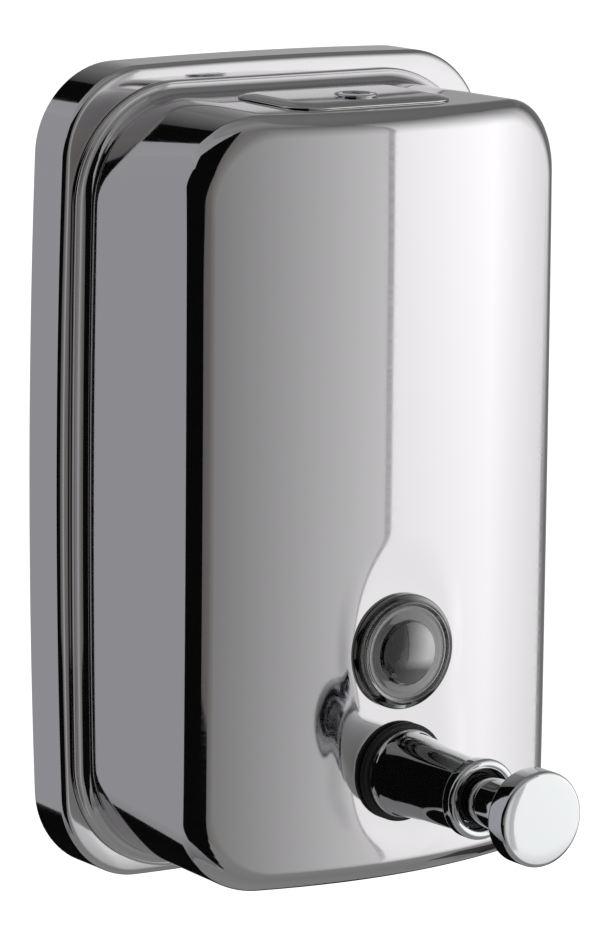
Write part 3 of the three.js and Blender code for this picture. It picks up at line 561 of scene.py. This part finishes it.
STEM = dict(radius=6.2, edge=0.3, length=38.0, set_back=0.25, straight=(8.0, 20.0), well=8.0)
TENON_RADIUS, TENON_LENGTH = 3.75, 3.25
ROD = dict(radius=4.0, end=18.75, seat=2.9, seat_end=14.4, bore=2.0)


def make_stem():
    radius, edge, rod, seat = STEM["radius"], STEM["edge"], ROD["radius"], ROD["seat"]
    neck_end, well_end = KNOB_BACK + STEM["length"], KNOB_BACK + STEM["length"] - STEM["well"]
    front, tenon_end = KNOB_BACK + STEM["set_back"], KNOB_BACK - TENON_LENGTH
    profile = [(0, tenon_end), (TENON_RADIUS, tenon_end), (TENON_RADIUS, front)]
    profile += round_points((radius - edge, front + edge), edge, -1, 0, 3)
    profile += [(radius, KNOB_BACK + along) for along in STEM["straight"]]
    profile += round_points((radius - edge, neck_end - edge), edge, 0, 1, 3)
    profile += [(rod, neck_end), (rod, ROD["end"]), (seat, ROD["end"]), (seat, ROD["seat_end"])]
    profile += [(ROD["bore"], ROD["seat_end"]), (ROD["bore"], well_end), (0, well_end)]
    return turned("stem", profile, PUMP)


KNOB = dict(radius=11.65, thickness=6.4, crown=0.15, front_round=1.0, back_round=0.8)
KNOB_SIDE_END, SOCKET_RADIUS, SOCKET_DEPTH = 3.2, 4.0, 3.5
KNOB_CROWN_SHARES = ((0, 1), (0.343, 0.867), (0.687, 0.4))


def make_knob():
    radius, front_round, back_round = (KNOB[key] for key in ("radius", "front_round", "back_round"))
    front, socket = KNOB_BACK - KNOB["thickness"], KNOB_BACK - SOCKET_DEPTH
    profile = [(radius * a, front - KNOB["crown"] * b) for a, b in KNOB_CROWN_SHARES]
    profile += round_points((radius - front_round, front + front_round), front_round, -1, 0, 10)
    profile += [(radius, front + KNOB_SIDE_END)]
    profile += round_points((radius - back_round, KNOB_BACK - back_round), back_round, 0, 1, 8)
    profile += [(SOCKET_RADIUS, KNOB_BACK), (SOCKET_RADIUS, socket), (0, socket)]
    return turned("knob", profile, PUMP)


rubber_ring = make_ring()
barrel = make_barrel()
stem = make_stem()
knob = make_knob()


# Filler lid and its lock, with the pivot at the origin until each stands in its place

LID = dict(width=48.0, depth=32.5, corner=8.0, middle=-19.75, rise=1.3, sheet=0.6)
LID_GAP, LID_BAND, LID_SHOULDER, LID_TOP_EDGE, LID_RIM_EDGE = 0.08, 0.35, 2.6, 1.7, 0.25
LID_TOP = PIVOT_DEPTH + LID["rise"]
LID_FOOT = PIVOT_DEPTH + LID_GAP
LID_RIM = LID_FOOT + LID_BAND
LOCK_FROM_PIVOT, LOCK_HOLE, LOCK_CUT = 25.0, 4.75, 6.0


def at_height(height):
    """A test for the points at a height"""
    return lambda place: abs(place.z - height * MM) < ALIKE


def make_lid():
    deselect()
    bpy.ops.mesh.primitive_cube_add(
        size=1,
        location=(0, LID["middle"] * MM, (LID_RIM + LID_FOOT) / 2 * MM),
        scale=(LID["width"] * MM, LID["depth"] * MM, LID_BAND * MM),
    )
    lid = bpy.context.object
    lid.name = "lid"
    bpy.ops.object.transform_apply(location=True, rotation=True, scale=True)
    round_upright_edges(lid, LID["corner"], 16)
    bpy.ops.object.mode_set(mode="EDIT")
    bpy.ops.mesh.select_mode(type="FACE")
    select_where(lid, "faces", at_height(LID_RIM))
    bpy.ops.mesh.inset(thickness=LID_SHOULDER * MM, depth=(LID_TOP - LID_RIM) * MM)
    bpy.ops.mesh.select_mode(type="EDGE")
    for height, edge, segments in ((LID_TOP, LID_TOP_EDGE, 8), (LID_RIM, LID_RIM_EDGE, 5)):
        select_where(lid, "edges", at_height(height))
        bpy.ops.mesh.bevel(offset=edge * MM, segments=segments, affect="EDGES")
    bpy.ops.mesh.select_mode(type="FACE")
    select_where(lid, "faces", at_height(LID_FOOT))
    bpy.ops.mesh.delete(type="FACE")
    bpy.ops.object.mode_set(mode="OBJECT")
    apply_modifier(lid, "SOLIDIFY", thickness=LID["sheet"] * MM, offset=-1)
    deselect()
    bpy.ops.mesh.primitive_cylinder_add(
        vertices=64,
        radius=LOCK_HOLE * MM,
        depth=LOCK_CUT * MM,
        location=(0, -LOCK_FROM_PIVOT * MM, LID_TOP * MM),
    )
    cut(lid, [bpy.context.object])
    arms = [make_arm(sign * ARM["from_middle"]) for sign in (-1, 1)]
    pick(lid)
    for arm in arms:
        arm.select_set(True)
    bpy.ops.object.join()
    lid.data.transform(matrix_in_metres(HINGE))
    return settle(lid)


ARM = dict(from_middle=16.0, width=5.0, sheet=1.5, bend=1.8, edge=0.15)
ARM_PATH = ((0, -1.4), (-2.0, -8.6), (-9.65, -6.0), (-9.65, LID_TOP - LID["sheet"] / 2))
KNUCKLE_RADIUS, KNUCKLE_BORE = 2.2, 1.25


def make_arm(x):
    """One gooseneck: a strip extruded along its path, its bends rounded and its sheet thickened"""
    width, first = ARM["width"], ARM_PATH[0][1]
    deselect()
    bpy.ops.mesh.primitive_plane_add(size=width * MM, location=(x * MM, 0, first * MM))
    arm = bpy.context.object
    bpy.ops.object.transform_apply(location=True, rotation=True, scale=True)
    bpy.ops.object.mode_set(mode="EDIT")
    bpy.ops.mesh.select_mode(type="EDGE")
    select_where(arm, "edges", lambda place: place.y > 0)
    bpy.ops.mesh.delete(type="EDGE")
    select_where(arm, "edges", lambda place: place.y < 0)
    bpy.ops.transform.translate(value=(0, width / 2 * MM, 0))
    for start, end in zip(ARM_PATH, ARM_PATH[1:]):
        step = (0, (end[0] - start[0]) * MM, (end[1] - start[1]) * MM)
        bpy.ops.mesh.extrude_region_move(TRANSFORM_OT_translate={"value": step})
    bpy.ops.mesh.select_all(action="DESELECT")
    mesh = bmesh.from_edit_mesh(arm.data)
    for edge in mesh.edges:
        if len(edge.link_faces) == 2:
            edge.select_set(True)
    bmesh.update_edit_mesh(arm.data)
    bpy.ops.mesh.bevel(offset=ARM["bend"] * MM, segments=5, affect="EDGES")
    bpy.ops.object.mode_set(mode="OBJECT")
    apply_modifier(arm, "SOLIDIFY", thickness=ARM["sheet"] * MM, offset=0)
    apply_modifier(arm, "BEVEL", width=ARM["edge"] * MM, segments=2, limit_method="ANGLE")
    ends = ((KNUCKLE_BORE, -1), (KNUCKLE_RADIUS, -1), (KNUCKLE_RADIUS, 1), (KNUCKLE_BORE, 1))
    sleeve = [(radius, side * width / 2) for radius, side in ends]
    knuckle = turned("knuckle", sleeve, (0, 0, 0), 40)
    sideways = Matrix.Rotation(-QUARTER, 4, "Z")
    knuckle.data.transform(Matrix.Translation((x * MM, 0, 0)) @ sideways)
    pick(arm)
    knuckle.select_set(True)
    bpy.ops.object.join()
    return arm


def stood_up(piece):
    """Turns a piece made along Y to stand in the lid"""
    lock_place = Matrix.Translation((0, -LOCK_FROM_PIVOT, LID_TOP))
    place = HINGE @ lock_place @ Matrix.Rotation(QUARTER, 4, "X")
    piece.data.transform(matrix_in_metres(place))
    return settle(piece)


LOCK = dict(rim=5.4, edge=0.35, neck=4.5, bore=3.25, foot=-12.5, lid_face=0.25)
LOCK_RIM_BACK = (4.6, 5.35)
LOCK_MOUTH = ((3.4, 0.7), (3.25, 0.6))
PLUG = dict(radius=3.0, front=0.68, chamfer=0.15, chamfer_depth=0.13, foot=-12.75)
TAIL_RADIUS, TAIL_LENGTH, TAIL_SOCKET = 1.6, 2.7, 2.4
KEYHOLE = dict(width=0.8, height=5.4, depth=3.6, off_middle=0.5)


def make_lock_housing():
    edge, face, neck = LOCK["edge"], LOCK["lid_face"], LOCK["neck"]
    middle = LOCK["rim"] - edge
    profile = [(LOCK["bore"], LOCK["foot"]), (neck, LOCK["foot"]), (neck, face)]
    profile += [(radius, face) for radius in LOCK_RIM_BACK]
    profile += round_points((middle, edge), edge, 0, 1, 6)
    return stood_up(turned("lock_face", profile + list(LOCK_MOUTH), (0, 0, 0), 72))


def make_lock_plug():
    radius, front, foot = PLUG["radius"], PLUG["front"], PLUG["foot"]
    profile = [(0, foot - TAIL_LENGTH), (TAIL_RADIUS, foot - TAIL_LENGTH)]
    profile += [(TAIL_RADIUS, foot + TAIL_SOCKET), (radius, foot + TAIL_SOCKET)]
    profile += [(radius, front - PLUG["chamfer_depth"]), (radius - PLUG["chamfer"], front)]
    plug = turned("lock_core", profile + [(0, front)], (0, 0, 0), 72)
    deselect()
    bpy.ops.mesh.primitive_cube_add(
        size=1,
        location=(0, -KEYHOLE["off_middle"] * MM, 0),
        scale=tuple(KEYHOLE[key] * MM for key in ("width", "height", "depth")),
    )
    slot = bpy.context.object
    bpy.ops.object.transform_apply(location=True, rotation=True, scale=True)
    cut(plug, [slot])
    return stood_up(plug)


lid = make_lid()
lock_face = make_lock_housing()
lock_core = make_lock_plug()


# Materials

def linear(code):
    """The linear colour of an sRGB hex code"""
    values = [int(code[i : i + 2], 16) / 255 for i in (1, 3, 5)]
    curve = [v / 12.92 if v <= 0.04045 else ((v + 0.055) / 1.055) ** 2.4 for v in values]
    return (*curve, 1.0)


def add_node(tree, kind, links=(), **settings):
    """A node with its settings, and links as (input, source node, source output)"""
    node = tree.nodes.new(kind)
    for key, value in settings.items():
        if key in node.inputs:
            node.inputs[key].default_value = value
        else:
            setattr(node, key, value)
    for socket, source, output in links:
        tree.links.new(source.outputs[output], node.inputs[socket])
    return node


def repeats(size):
    """A noise scale from the size of one repeat in millimetres"""
    return 1 / (size * MM)


def new_material(name, shader_settings):
    material = bpy.data.materials.new(name)
    material.use_nodes = True
    tree = material.node_tree
    shader = tree.nodes["Principled BSDF"]
    for key, value in shader_settings.items():
        shader.inputs[key].default_value = value
    place = add_node(tree, "ShaderNodeTexCoord")
    return material, tree, shader, place


def polished_steel():
    """Stainless steel 304, deep-drawn and mirror-polished: it shows its room, a little softened by
    hairlines from the buffing wheel and bent by the slow waves that drawing leaves in a sheet"""
    # Real hairlines are about 0.02 mm wide, too fine to show, so they are drawn coarser
    hairline_length, hairline_width, wave_length, wave_height = 16.7, 0.76, 62.5, 0.6
    material, tree, shader, place = new_material(
        "polished_stainless", {"Base Color": linear("#DAD8DA"), "Metallic": 1.0, "Roughness": 0.06}
    )
    stretch = add_node(
        tree, "ShaderNodeMapping", [("Vector", place, "Object")],
        Scale=(1.0, 1.0, hairline_length / hairline_width),
    )
    hairlines = add_node(
        tree, "ShaderNodeTexNoise", [("Vector", stretch, "Vector")],
        Scale=repeats(hairline_length), Detail=4.0,
    )
    polish = add_node(
        tree, "ShaderNodeMapRange", [("Value", hairlines, "Fac")], **{
            "From Min": 0.3, "From Max": 0.75, "To Min": 0.035, "To Max": 0.085}
    )
    tree.links.new(polish.outputs["Result"], shader.inputs["Roughness"])
    waves = add_node(
        tree, "ShaderNodeTexNoise", [("Vector", place, "Object")],
        Scale=repeats(wave_length), Detail=1.0,
    )
    bump = add_node(
        tree, "ShaderNodeBump", [("Height", waves, "Fac")],
        Strength=0.12, Distance=wave_height * MM,
    )
    tree.links.new(bump.outputs["Normal"], shader.inputs["Normal"])
    return material


def bright_chrome():
    """Chrome over turned brass: the brightest finish here, with the faint clouds, a few millimetres
    across, that polishing leaves"""
    cloud = 4.17
    material, tree, shader, place = new_material(
        "bright_chrome", {"Base Color": linear("#E3E5E7"), "Metallic": 1.0, "Roughness": 0.04}
    )
    clouds = add_node(
        tree, "ShaderNodeTexNoise", [("Vector", place, "Object")],
        Scale=repeats(cloud), Detail=3.0,
    )
    polish = add_node(
        tree, "ShaderNodeMapRange", [("Value", clouds, "Fac")], **{
            "From Min": 0.3, "From Max": 0.8, "To Min": 0.025, "To Max": 0.06}
    )
    tree.links.new(polish.outputs["Result"], shader.inputs["Roughness"])
    return material


def moulded_rubber():
    """Nitrile rubber, compression-moulded: near black, with a fine matt grain"""
    # The real grain is about 0.03 mm, too fine to show, so it is drawn coarser
    grain_width, grain_height = 0.714, 0.05
    material, tree, shader, place = new_material(
        "nitrile_rubber", {"Base Color": linear("#0B0B0C"), "Roughness": 0.55, "IOR": 1.52}
    )
    grain = add_node(
        tree, "ShaderNodeTexNoise", [("Vector", place, "Object")],
        Scale=repeats(grain_width), Detail=3.0,
    )
    bloom = add_node(
        tree, "ShaderNodeMapRange", [("Value", grain, "Fac")], **{
            "From Min": 0.3, "From Max": 0.7, "To Min": 0.45, "To Max": 0.68}
    )
    tree.links.new(bloom.outputs["Result"], shader.inputs["Roughness"])
    bump = add_node(
        tree, "ShaderNodeBump", [("Height", grain, "Fac")],
        Strength=0.25, Distance=grain_height * MM,
    )
    tree.links.new(bump.outputs["Normal"], shader.inputs["Normal"])
    return material


def clear_acrylic():
    """Acrylic, injection-moulded and polished: clear as water over the dark tank, with faint flow
    lines. Its thick steep faces throw the room back like half-silvered glass, which the metallic
    share stands for"""
    flow_width, flow_height = 8.33, 0.2
    material, tree, shader, place = new_material(
        "clear_acrylic",
        {
            "Base Color": linear("#A6A7A6"),
            "Roughness": 0.03,
            "IOR": 1.49,
            "Transmission Weight": 1.0,
        },
    )
    facing = add_node(tree, "ShaderNodeLayerWeight", Blend=0.5)
    mirrored = add_node(
        tree, "ShaderNodeMapRange", [("Value", facing, "Facing")], **{
            "From Min": 0.13, "From Max": 0.33, "To Min": 0.0, "To Max": 1.0}
    )
    tree.links.new(mirrored.outputs["Result"], shader.inputs["Metallic"])
    flow = add_node(
        tree, "ShaderNodeTexNoise", [("Vector", place, "Object")],
        Scale=repeats(flow_width), Detail=1.0,
    )
    bump = add_node(
        tree, "ShaderNodeBump", [("Height", flow, "Fac")],
        Strength=0.12, Distance=flow_height * MM,
    )
    tree.links.new(bump.outputs["Normal"], shader.inputs["Normal"])
    return material


def mill_steel():
    """Stainless strip as it leaves the mill: grey, with fine rolling lines along it"""
    # Real rolling lines are about 0.05 mm wide, too fine to show, so they are drawn coarser
    line_length, line_width, line_height = 11.1, 0.37, 0.08
    material, tree, shader, place = new_material(
        "mill_stainless", {"Base Color": linear("#B4B6B8"), "Metallic": 1.0, "Roughness": 0.35}
    )
    stretch = add_node(
        tree, "ShaderNodeMapping", [("Vector", place, "Object")],
        Scale=(line_length / line_width, 1.0, 1.0),
    )
    lines = add_node(
        tree, "ShaderNodeTexNoise", [("Vector", stretch, "Vector")],
        Scale=repeats(line_length), Detail=4.0,
    )
    finish = add_node(
        tree, "ShaderNodeMapRange", [("Value", lines, "Fac")], **{
            "From Min": 0.25, "From Max": 0.75, "To Min": 0.26, "To Max": 0.46}
    )
    tree.links.new(finish.outputs["Result"], shader.inputs["Roughness"])
    bump = add_node(
        tree, "ShaderNodeBump", [("Height", lines, "Fac")],
        Strength=0.2, Distance=line_height * MM,
    )
    tree.links.new(bump.outputs["Normal"], shader.inputs["Normal"])
    return material


def moulded_plastic(name, code, roughness):
    """Acetal or nylon, injection-moulded with a spark-eroded satin face"""
    # The real grain is about 0.05 mm, too fine to show, so it is drawn coarser
    grain_width, grain_height = 1.11, 0.04
    material, tree, shader, place = new_material(
        name, {"Base Color": linear(code), "Roughness": roughness, "IOR": 1.48}
    )
    grain = add_node(
        tree, "ShaderNodeTexNoise", [("Vector", place, "Object")],
        Scale=repeats(grain_width), Detail=2.0,
    )
    bump = add_node(
        tree, "ShaderNodeBump", [("Height", grain, "Fac")],
        Strength=0.2, Distance=grain_height * MM,
    )
    tree.links.new(bump.outputs["Normal"], shader.inputs["Normal"])
    return material


STEEL = polished_steel()
CHROME = bright_chrome()
RUBBER = moulded_rubber()
ACRYLIC = clear_acrylic()
MILL = mill_steel()
WHITE = moulded_plastic("white_acetal", "#E9E8E3", 0.4)
BLACK = moulded_plastic("black_nylon", "#1B1B1C", 0.45)

for piece, material, body, slot, replaced in (
    (tray, STEEL, "dispenser", "polished_steel", ["back_pan"]),
    (tank, STEEL, "dispenser", "polished_steel", ["tank_shell"]),
    (sight_glass, ACRYLIC, "dispenser", "clear_acrylic", ["sight_lens"]),
    (rubber_ring, RUBBER, "dispenser", "black_rubber", ["barrel_washer"]),
    (barrel, CHROME, "dispenser", "chrome", ["pump_barrel"]),
    (stem, CHROME, "plunger", "chrome", ["plunger_stem"]),
    (knob, CHROME, "plunger", "chrome", ["push_knob"]),
    (lid, STEEL, "lid", "polished_steel", ["filler_lid"]),
    (lock_face, CHROME, "lid", "chrome", ["lock_housing"]),
    (lock_core, CHROME, "lock", "chrome", ["lock_plug"]),
):
    piece.data.materials.clear()
    piece.data.materials.append(material)
    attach(piece, body)
    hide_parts(*replaced)

for material, names in (
    (MILL, ("wall_plate", "hanger_upper", "hanger_lower", "hinge_bracket", "hinge_pin", "lock_nut",
            "lock_cam", "pump_nut", "return_spring", "inlet_ball", "outlet_ball")),
    (RUBBER, ("lid_gasket", "sight_gasket", "tank_washer", "piston_seal")),
    (WHITE, ("pump_cylinder", "piston", "inlet_cap", "ball_cage")),
    (BLACK, ("sight_nut", "guide_bush")),
):
    for name in names:
        for held in nodes[name].material_slots:
            held.material = material


# Studio, in metres: cards that only the metal and glass show, a floor, lamps and the world

MIDDLE = Vector((0, -0.035, 0))
# How far from the middle each layer of cards stands
UNDERNEATH, NEAR, BEFORE_SCRIM, BESIDE_SCRIM, FAR = 0.85, 0.9, 0.95, 0.97, 1.0
WALL, BEHIND_WALL, OVERHEAD, ROOM_END = 1.05, 1.07, 1.1, 1.3
CARD_STEPS = 16


def room_way(azimuth, elevation):
    """A direction by its azimuth in degrees, 0 out from the wall and rising towards -X, and its
    elevation"""
    turn, rise = math.radians(azimuth), math.radians(elevation)
    return Vector(
        (-math.sin(turn) * math.cos(rise), -math.cos(turn) * math.cos(rise), math.sin(rise))
    )


def card_paper():
    """Paper that glows by the level held at its points"""
    material = bpy.data.materials.new("card_paper")
    material.use_nodes = True
    tree = material.node_tree
    tree.nodes.clear()
    level_held = add_node(tree, "ShaderNodeAttribute", attribute_name="glow")
    glow = add_node(tree, "ShaderNodeEmission", [("Color", level_held, "Color")], Strength=1.0)
    add_node(tree, "ShaderNodeOutputMaterial", [("Surface", glow, "Emission")])
    return material


PAPER = card_paper()
WARM, COOL, PLAIN = (1.045, 1.01, 0.955), (0.98, 1.0, 1.045), (1.0, 1.0, 1.0)


def card(name, azimuths, feet, heads, glows, distance=FAR, tint=PLAIN):
    """A curved card from one azimuth to another. feet and heads are its lower and upper edges at
    the two ends, in degrees, and glows its levels at its two feet and then its two heads"""
    points, levels, faces = [], [], []
    for i in range(CARD_STEPS + 1):
        along = i / CARD_STEPS
        azimuth, foot, head, low, high = (
            pair[0] + (pair[1] - pair[0]) * along
            for pair in (azimuths, feet, heads, glows[0], glows[1])
        )
        for k in range(CARD_STEPS + 1):
            share = k / CARD_STEPS
            way = room_way(azimuth, foot + (head - foot) * share)
            points.append(MIDDLE + way * distance)
            levels.append(low + (high - low) * share)
    row = CARD_STEPS + 1
    for i in range(CARD_STEPS):
        for k in range(CARD_STEPS):
            corner = i * row + k
            faces.append((corner, corner + 1, corner + row + 1, corner + row))
    mesh = bpy.data.meshes.new(name)
    mesh.from_pydata(points, [], faces)
    held = mesh.attributes.new("glow", "FLOAT_COLOR", "POINT")
    for value, level_here in zip(held.data, levels):
        value.color = (*(level_here * share for share in tint), 1)
    mesh.materials.append(PAPER)
    made = bpy.data.objects.new(name, mesh)
    bpy.context.scene.collection.objects.link(made)
    made.visible_camera = False
    made.visible_diffuse = False
    made.visible_shadow = False


def column(name, azimuths, edges):
    """Three cards one above another, each edge as its elevation and its glow at either end"""
    for part, low, high in zip(("_foot", "", "_head"), edges, edges[1:]):
        feet, heads = (low[0], low[0]), (high[0], high[0])
        card(name + part, azimuths, feet, heads, (low[1:], high[1:]))


# The front shows a grey scrim, brighter towards a soft box on its right, and a dim room beyond
FLAG, SCRIM, BOX, BOX_BEND, BOX_END, ROOM = 34, 16, -29.5, -60, -78.5, -97
column(
    "scrim", (SCRIM, BOX),
    ((-27, 0.27, 0.29), (-20, 0.24, 0.75), (0, 0.25, 0.74), (42, 0.20, 0.19)),
)
card("post", (-28.4, -30.2), (-20, -20), (30, 30), ((0.52, 0.62), (0.30, 0.34)), BEFORE_SCRIM)
column(
    "soft_box", (BOX, BOX_BEND),
    ((-27, 0.32, 0.30), (-19, 1.06, 1.24), (0, 1.14, 1.44), (47, 0.17, 0.17)),
)
column(
    "soft_box_end", (BOX_BEND, BOX_END),
    ((-27, 0.28, 0.25), (-19, 1.24, 1.0), (0, 1.48, 1.0), (47, 0.18, 0.18)),
)
column(
    "box_edge", (BOX_END, ROOM),
    ((-50, 0.24, 0.18), (-11, 0.33, 0.18), (0, 1.15, 0.22), (42, 0.30, 0.12)),
)
card("under_box", (38, -77), (-56, -56), (-27, -27), ((0.24, 0.24), (0.26, 0.30)))
card("right_room", (ROOM, -128), (-50, -50), (30, 30), ((0.22, 0.30), (0.14, 0.20)))
card("right_flag", (-58, -104), (-46, -47), (-32, -37), ((0.08, 0.01), (0.05, 0.01)), NEAR)
card("rear_room", (-128, -180), (-10, -10), (9, 9), ((0.42, 0.42), (0.42, 0.42)))
card("rear_room_head", (-128, -180), (9, 9), (30, 30), ((0.42, 0.42), (0.13, 0.18)))
card("rear_room_foot", (-126, -182), (-55, -55), (-10, -10), ((0.25, 0.25), (0.42, 0.42)))

# On the left a black flag stands between the scrim and a grey wall
DARK = ((0.003, 0.003), (0.003, 0.003))
card("scrim_end", (FLAG, SCRIM), (-16, -16), (3, 3), ((0.16, 0.24), (0.15, 0.25)), tint=WARM)
card("scrim_end_head", (FLAG, SCRIM), (3, 3), (42, 42), ((0.15, 0.25), (0.17, 0.21)), tint=WARM)
card("scrim_end_foot", (38, SCRIM), (-27, -27), (-16, -16), ((0.15, 0.26), (0.14, 0.24)), tint=WARM)
SHADED = ((0.13, 0.16), (0.13, 0.15))
card("scrim_nose", (55.5, FLAG), (-15, -16), (-4, 8), SHADED, BESIDE_SCRIM, WARM)
card("flag", (FLAG, 102), (-48, -33), (38, 19), DARK)
card("flag_head", (FLAG, 95), (20, 20), (52, 34), DARK)
card("flag_edge", (102, 124), (-33, -20), (19, 2), DARK)
card("left_wall", (46, 180), (-26, -26), (26, 26), ((0.37, 0.37), (0.38, 0.38)), WALL, COOL)
card("left_wall_head", (46, 180), (26, 26), (54, 54), ((0.40, 0.40), (0.34, 0.30)), WALL, COOL)
card("left_wall_foot", (46, 180), (-50, -50), (-26, -26), ((0.18, 0.16), (0.37, 0.37)), WALL, COOL)
card("upper_flag", (162, 181), (17, 17), (46, 46), DARK)
card("upper_shade", (181, 208), (24, 16), (46, 46), ((0.05, 0.30), (0.06, 0.20)))
card("lower_flag", (151, 232), (-62, -60), (-24, -28), DARK, NEAR)

# Overhead and underneath the room is dim
card("ceiling", (-180, -20), (29, 42), (90, 90), ((0.15, 0.16), (0.22, 0.22)), OVERHEAD)
card("ceiling_middle", (-20, 100), (41, 41), (66, 66), ((0.18, 0.20), (0.31, 0.30)), OVERHEAD)
card("ceiling_top", (-20, 180), (66, 66), (90, 90), ((0.31, 0.25), (0.22, 0.22)), OVERHEAD)
card("ceiling_rear", (100, 180), (48, 48), (66, 66), ((0.32, 0.28), (0.27, 0.25)), OVERHEAD)
card("low_room", (-180, 180), (-90, -90), (-54, -54), ((0.29, 0.29), (0.25, 0.25)), UNDERNEATH)
card("room_foot", (-180, 180), (-56, -56), (-42, -42), ((0.28, 0.28), (0.26, 0.26)), BEHIND_WALL)
card("room", (-180, 180), (-60, -60), (70, 70), ((0.22, 0.22), (0.18, 0.18)), ROOM_END)


def white_rays(tree):
    """1 for a ray from the camera, from a gloss or through glass, and 0 for one that lights"""
    path = add_node(tree, "ShaderNodeLightPath")
    seen = add_node(
        tree, "ShaderNodeMath", [(0, path, "Is Camera Ray"), (1, path, "Is Glossy Ray")],
        operation="MAXIMUM",
    )
    return add_node(
        tree, "ShaderNodeMath", [(0, seen, "Value"), (1, path, "Is Transmission Ray")],
        operation="MAXIMUM",
    )


def floor_paper():
    """Pale matt paper, whose white the camera and the metal see, with the object's shadow kept"""
    fibre_length, fibre_height, glow = 2.5, 0.2, 0.45
    material, tree, shader, place = new_material(
        "pale_floor", {"Base Color": linear("#F4F4F3"), "Roughness": 0.9}
    )
    fibre = add_node(
        tree, "ShaderNodeTexNoise", [("Vector", place, "Object")],
        Scale=repeats(fibre_length), Detail=3.0,
    )
    bump = add_node(
        tree, "ShaderNodeBump", [("Height", fibre, "Fac")],
        Strength=0.05, Distance=fibre_height * MM,
    )
    tree.links.new(bump.outputs["Normal"], shader.inputs["Normal"])
    lift = add_node(
        tree, "ShaderNodeMath", [(0, white_rays(tree), "Value")], operation="MULTIPLY"
    )
    lift.inputs[1].default_value = glow
    shader.inputs["Emission Color"].default_value = (1, 1, 1, 1)
    tree.links.new(lift.outputs["Value"], shader.inputs["Emission Strength"])
    return material


FLOOR_HEIGHT, FLOOR_SIZE = -0.9, 40
deselect()
bpy.ops.mesh.primitive_grid_add(
    x_subdivisions=8, y_subdivisions=8, size=FLOOR_SIZE, location=(0, 0, FLOOR_HEIGHT)
)
floor = bpy.context.object
floor.name = "floor"
bpy.ops.object.transform_apply(location=True, rotation=True, scale=True)
floor.data.materials.append(floor_paper())


def add_lamp(name, azimuth, elevation, distance, size, power):
    """A soft lamp that lights what is matt and stays out of the metal, which shows the cards"""
    light = bpy.data.lights.new(name, "AREA")
    light.shape = "DISK"
    light.size = size
    light.energy = power
    lamp = bpy.data.objects.new(name, light)
    bpy.context.scene.collection.objects.link(lamp)
    lamp.location = room_way(azimuth, elevation) * distance
    lamp.rotation_euler = lamp.location.to_track_quat("Z", "Y").to_euler()
    lamp.visible_glossy = False
    lamp.visible_transmission = False


add_lamp("key_lamp", -45, 40, distance=2.2, size=1.2, power=14)
add_lamp("fill_lamp", 70, 30, distance=2.4, size=1.5, power=5)


def make_world():
    """A white world, a little weaker where it lights than where it is seen"""
    world = bpy.data.worlds.new("studio")
    bpy.context.scene.world = world
    world.use_nodes = True
    tree = world.node_tree
    tree.nodes.clear()
    strength = add_node(
        tree, "ShaderNodeMapRange", [("Value", white_rays(tree), "Value")], **{
            "To Min": 0.75, "To Max": 1.0}
    )
    sky = add_node(
        tree, "ShaderNodeBackground", [("Strength", strength, "Result")], Color=(1, 1, 1, 1)
    )
    add_node(tree, "ShaderNodeOutputWorld", [("Surface", sky, "Background")])


make_world()


# Camera, at the photograph's place, in metres and millimetres of lens

CAMERA_PLACE, LENS, SENSOR, CAMERA_REACH = (-0.7160, -1.0734, 0.2290), 198.5, 36, 20
YAW, PITCH, ROLL = (math.radians(value) for value in (34.38, 10.22, 0.56))
forward = Vector(
    (math.sin(YAW) * math.cos(PITCH), math.cos(YAW) * math.cos(PITCH), -math.sin(PITCH))
)
level_right = Vector((math.cos(YAW), -math.sin(YAW), 0))
level_up = level_right.cross(forward)
right = level_right * math.cos(ROLL) + level_up * math.sin(ROLL)
up = level_up * math.cos(ROLL) - level_right * math.sin(ROLL)
camera_data = bpy.data.cameras.new("camera")
camera = bpy.data.objects.new("camera", camera_data)
bpy.context.scene.collection.objects.link(camera)
camera_data.lens = LENS
camera_data.sensor_width = SENSOR
camera_data.clip_end = CAMERA_REACH
rows = Matrix((right, up, -forward)).transposed()
camera.matrix_world = Matrix.Translation(CAMERA_PLACE) @ rows.to_4x4()
bpy.context.scene.camera = camera
bpy.context.scene.view_settings.view_transform = "Standard"
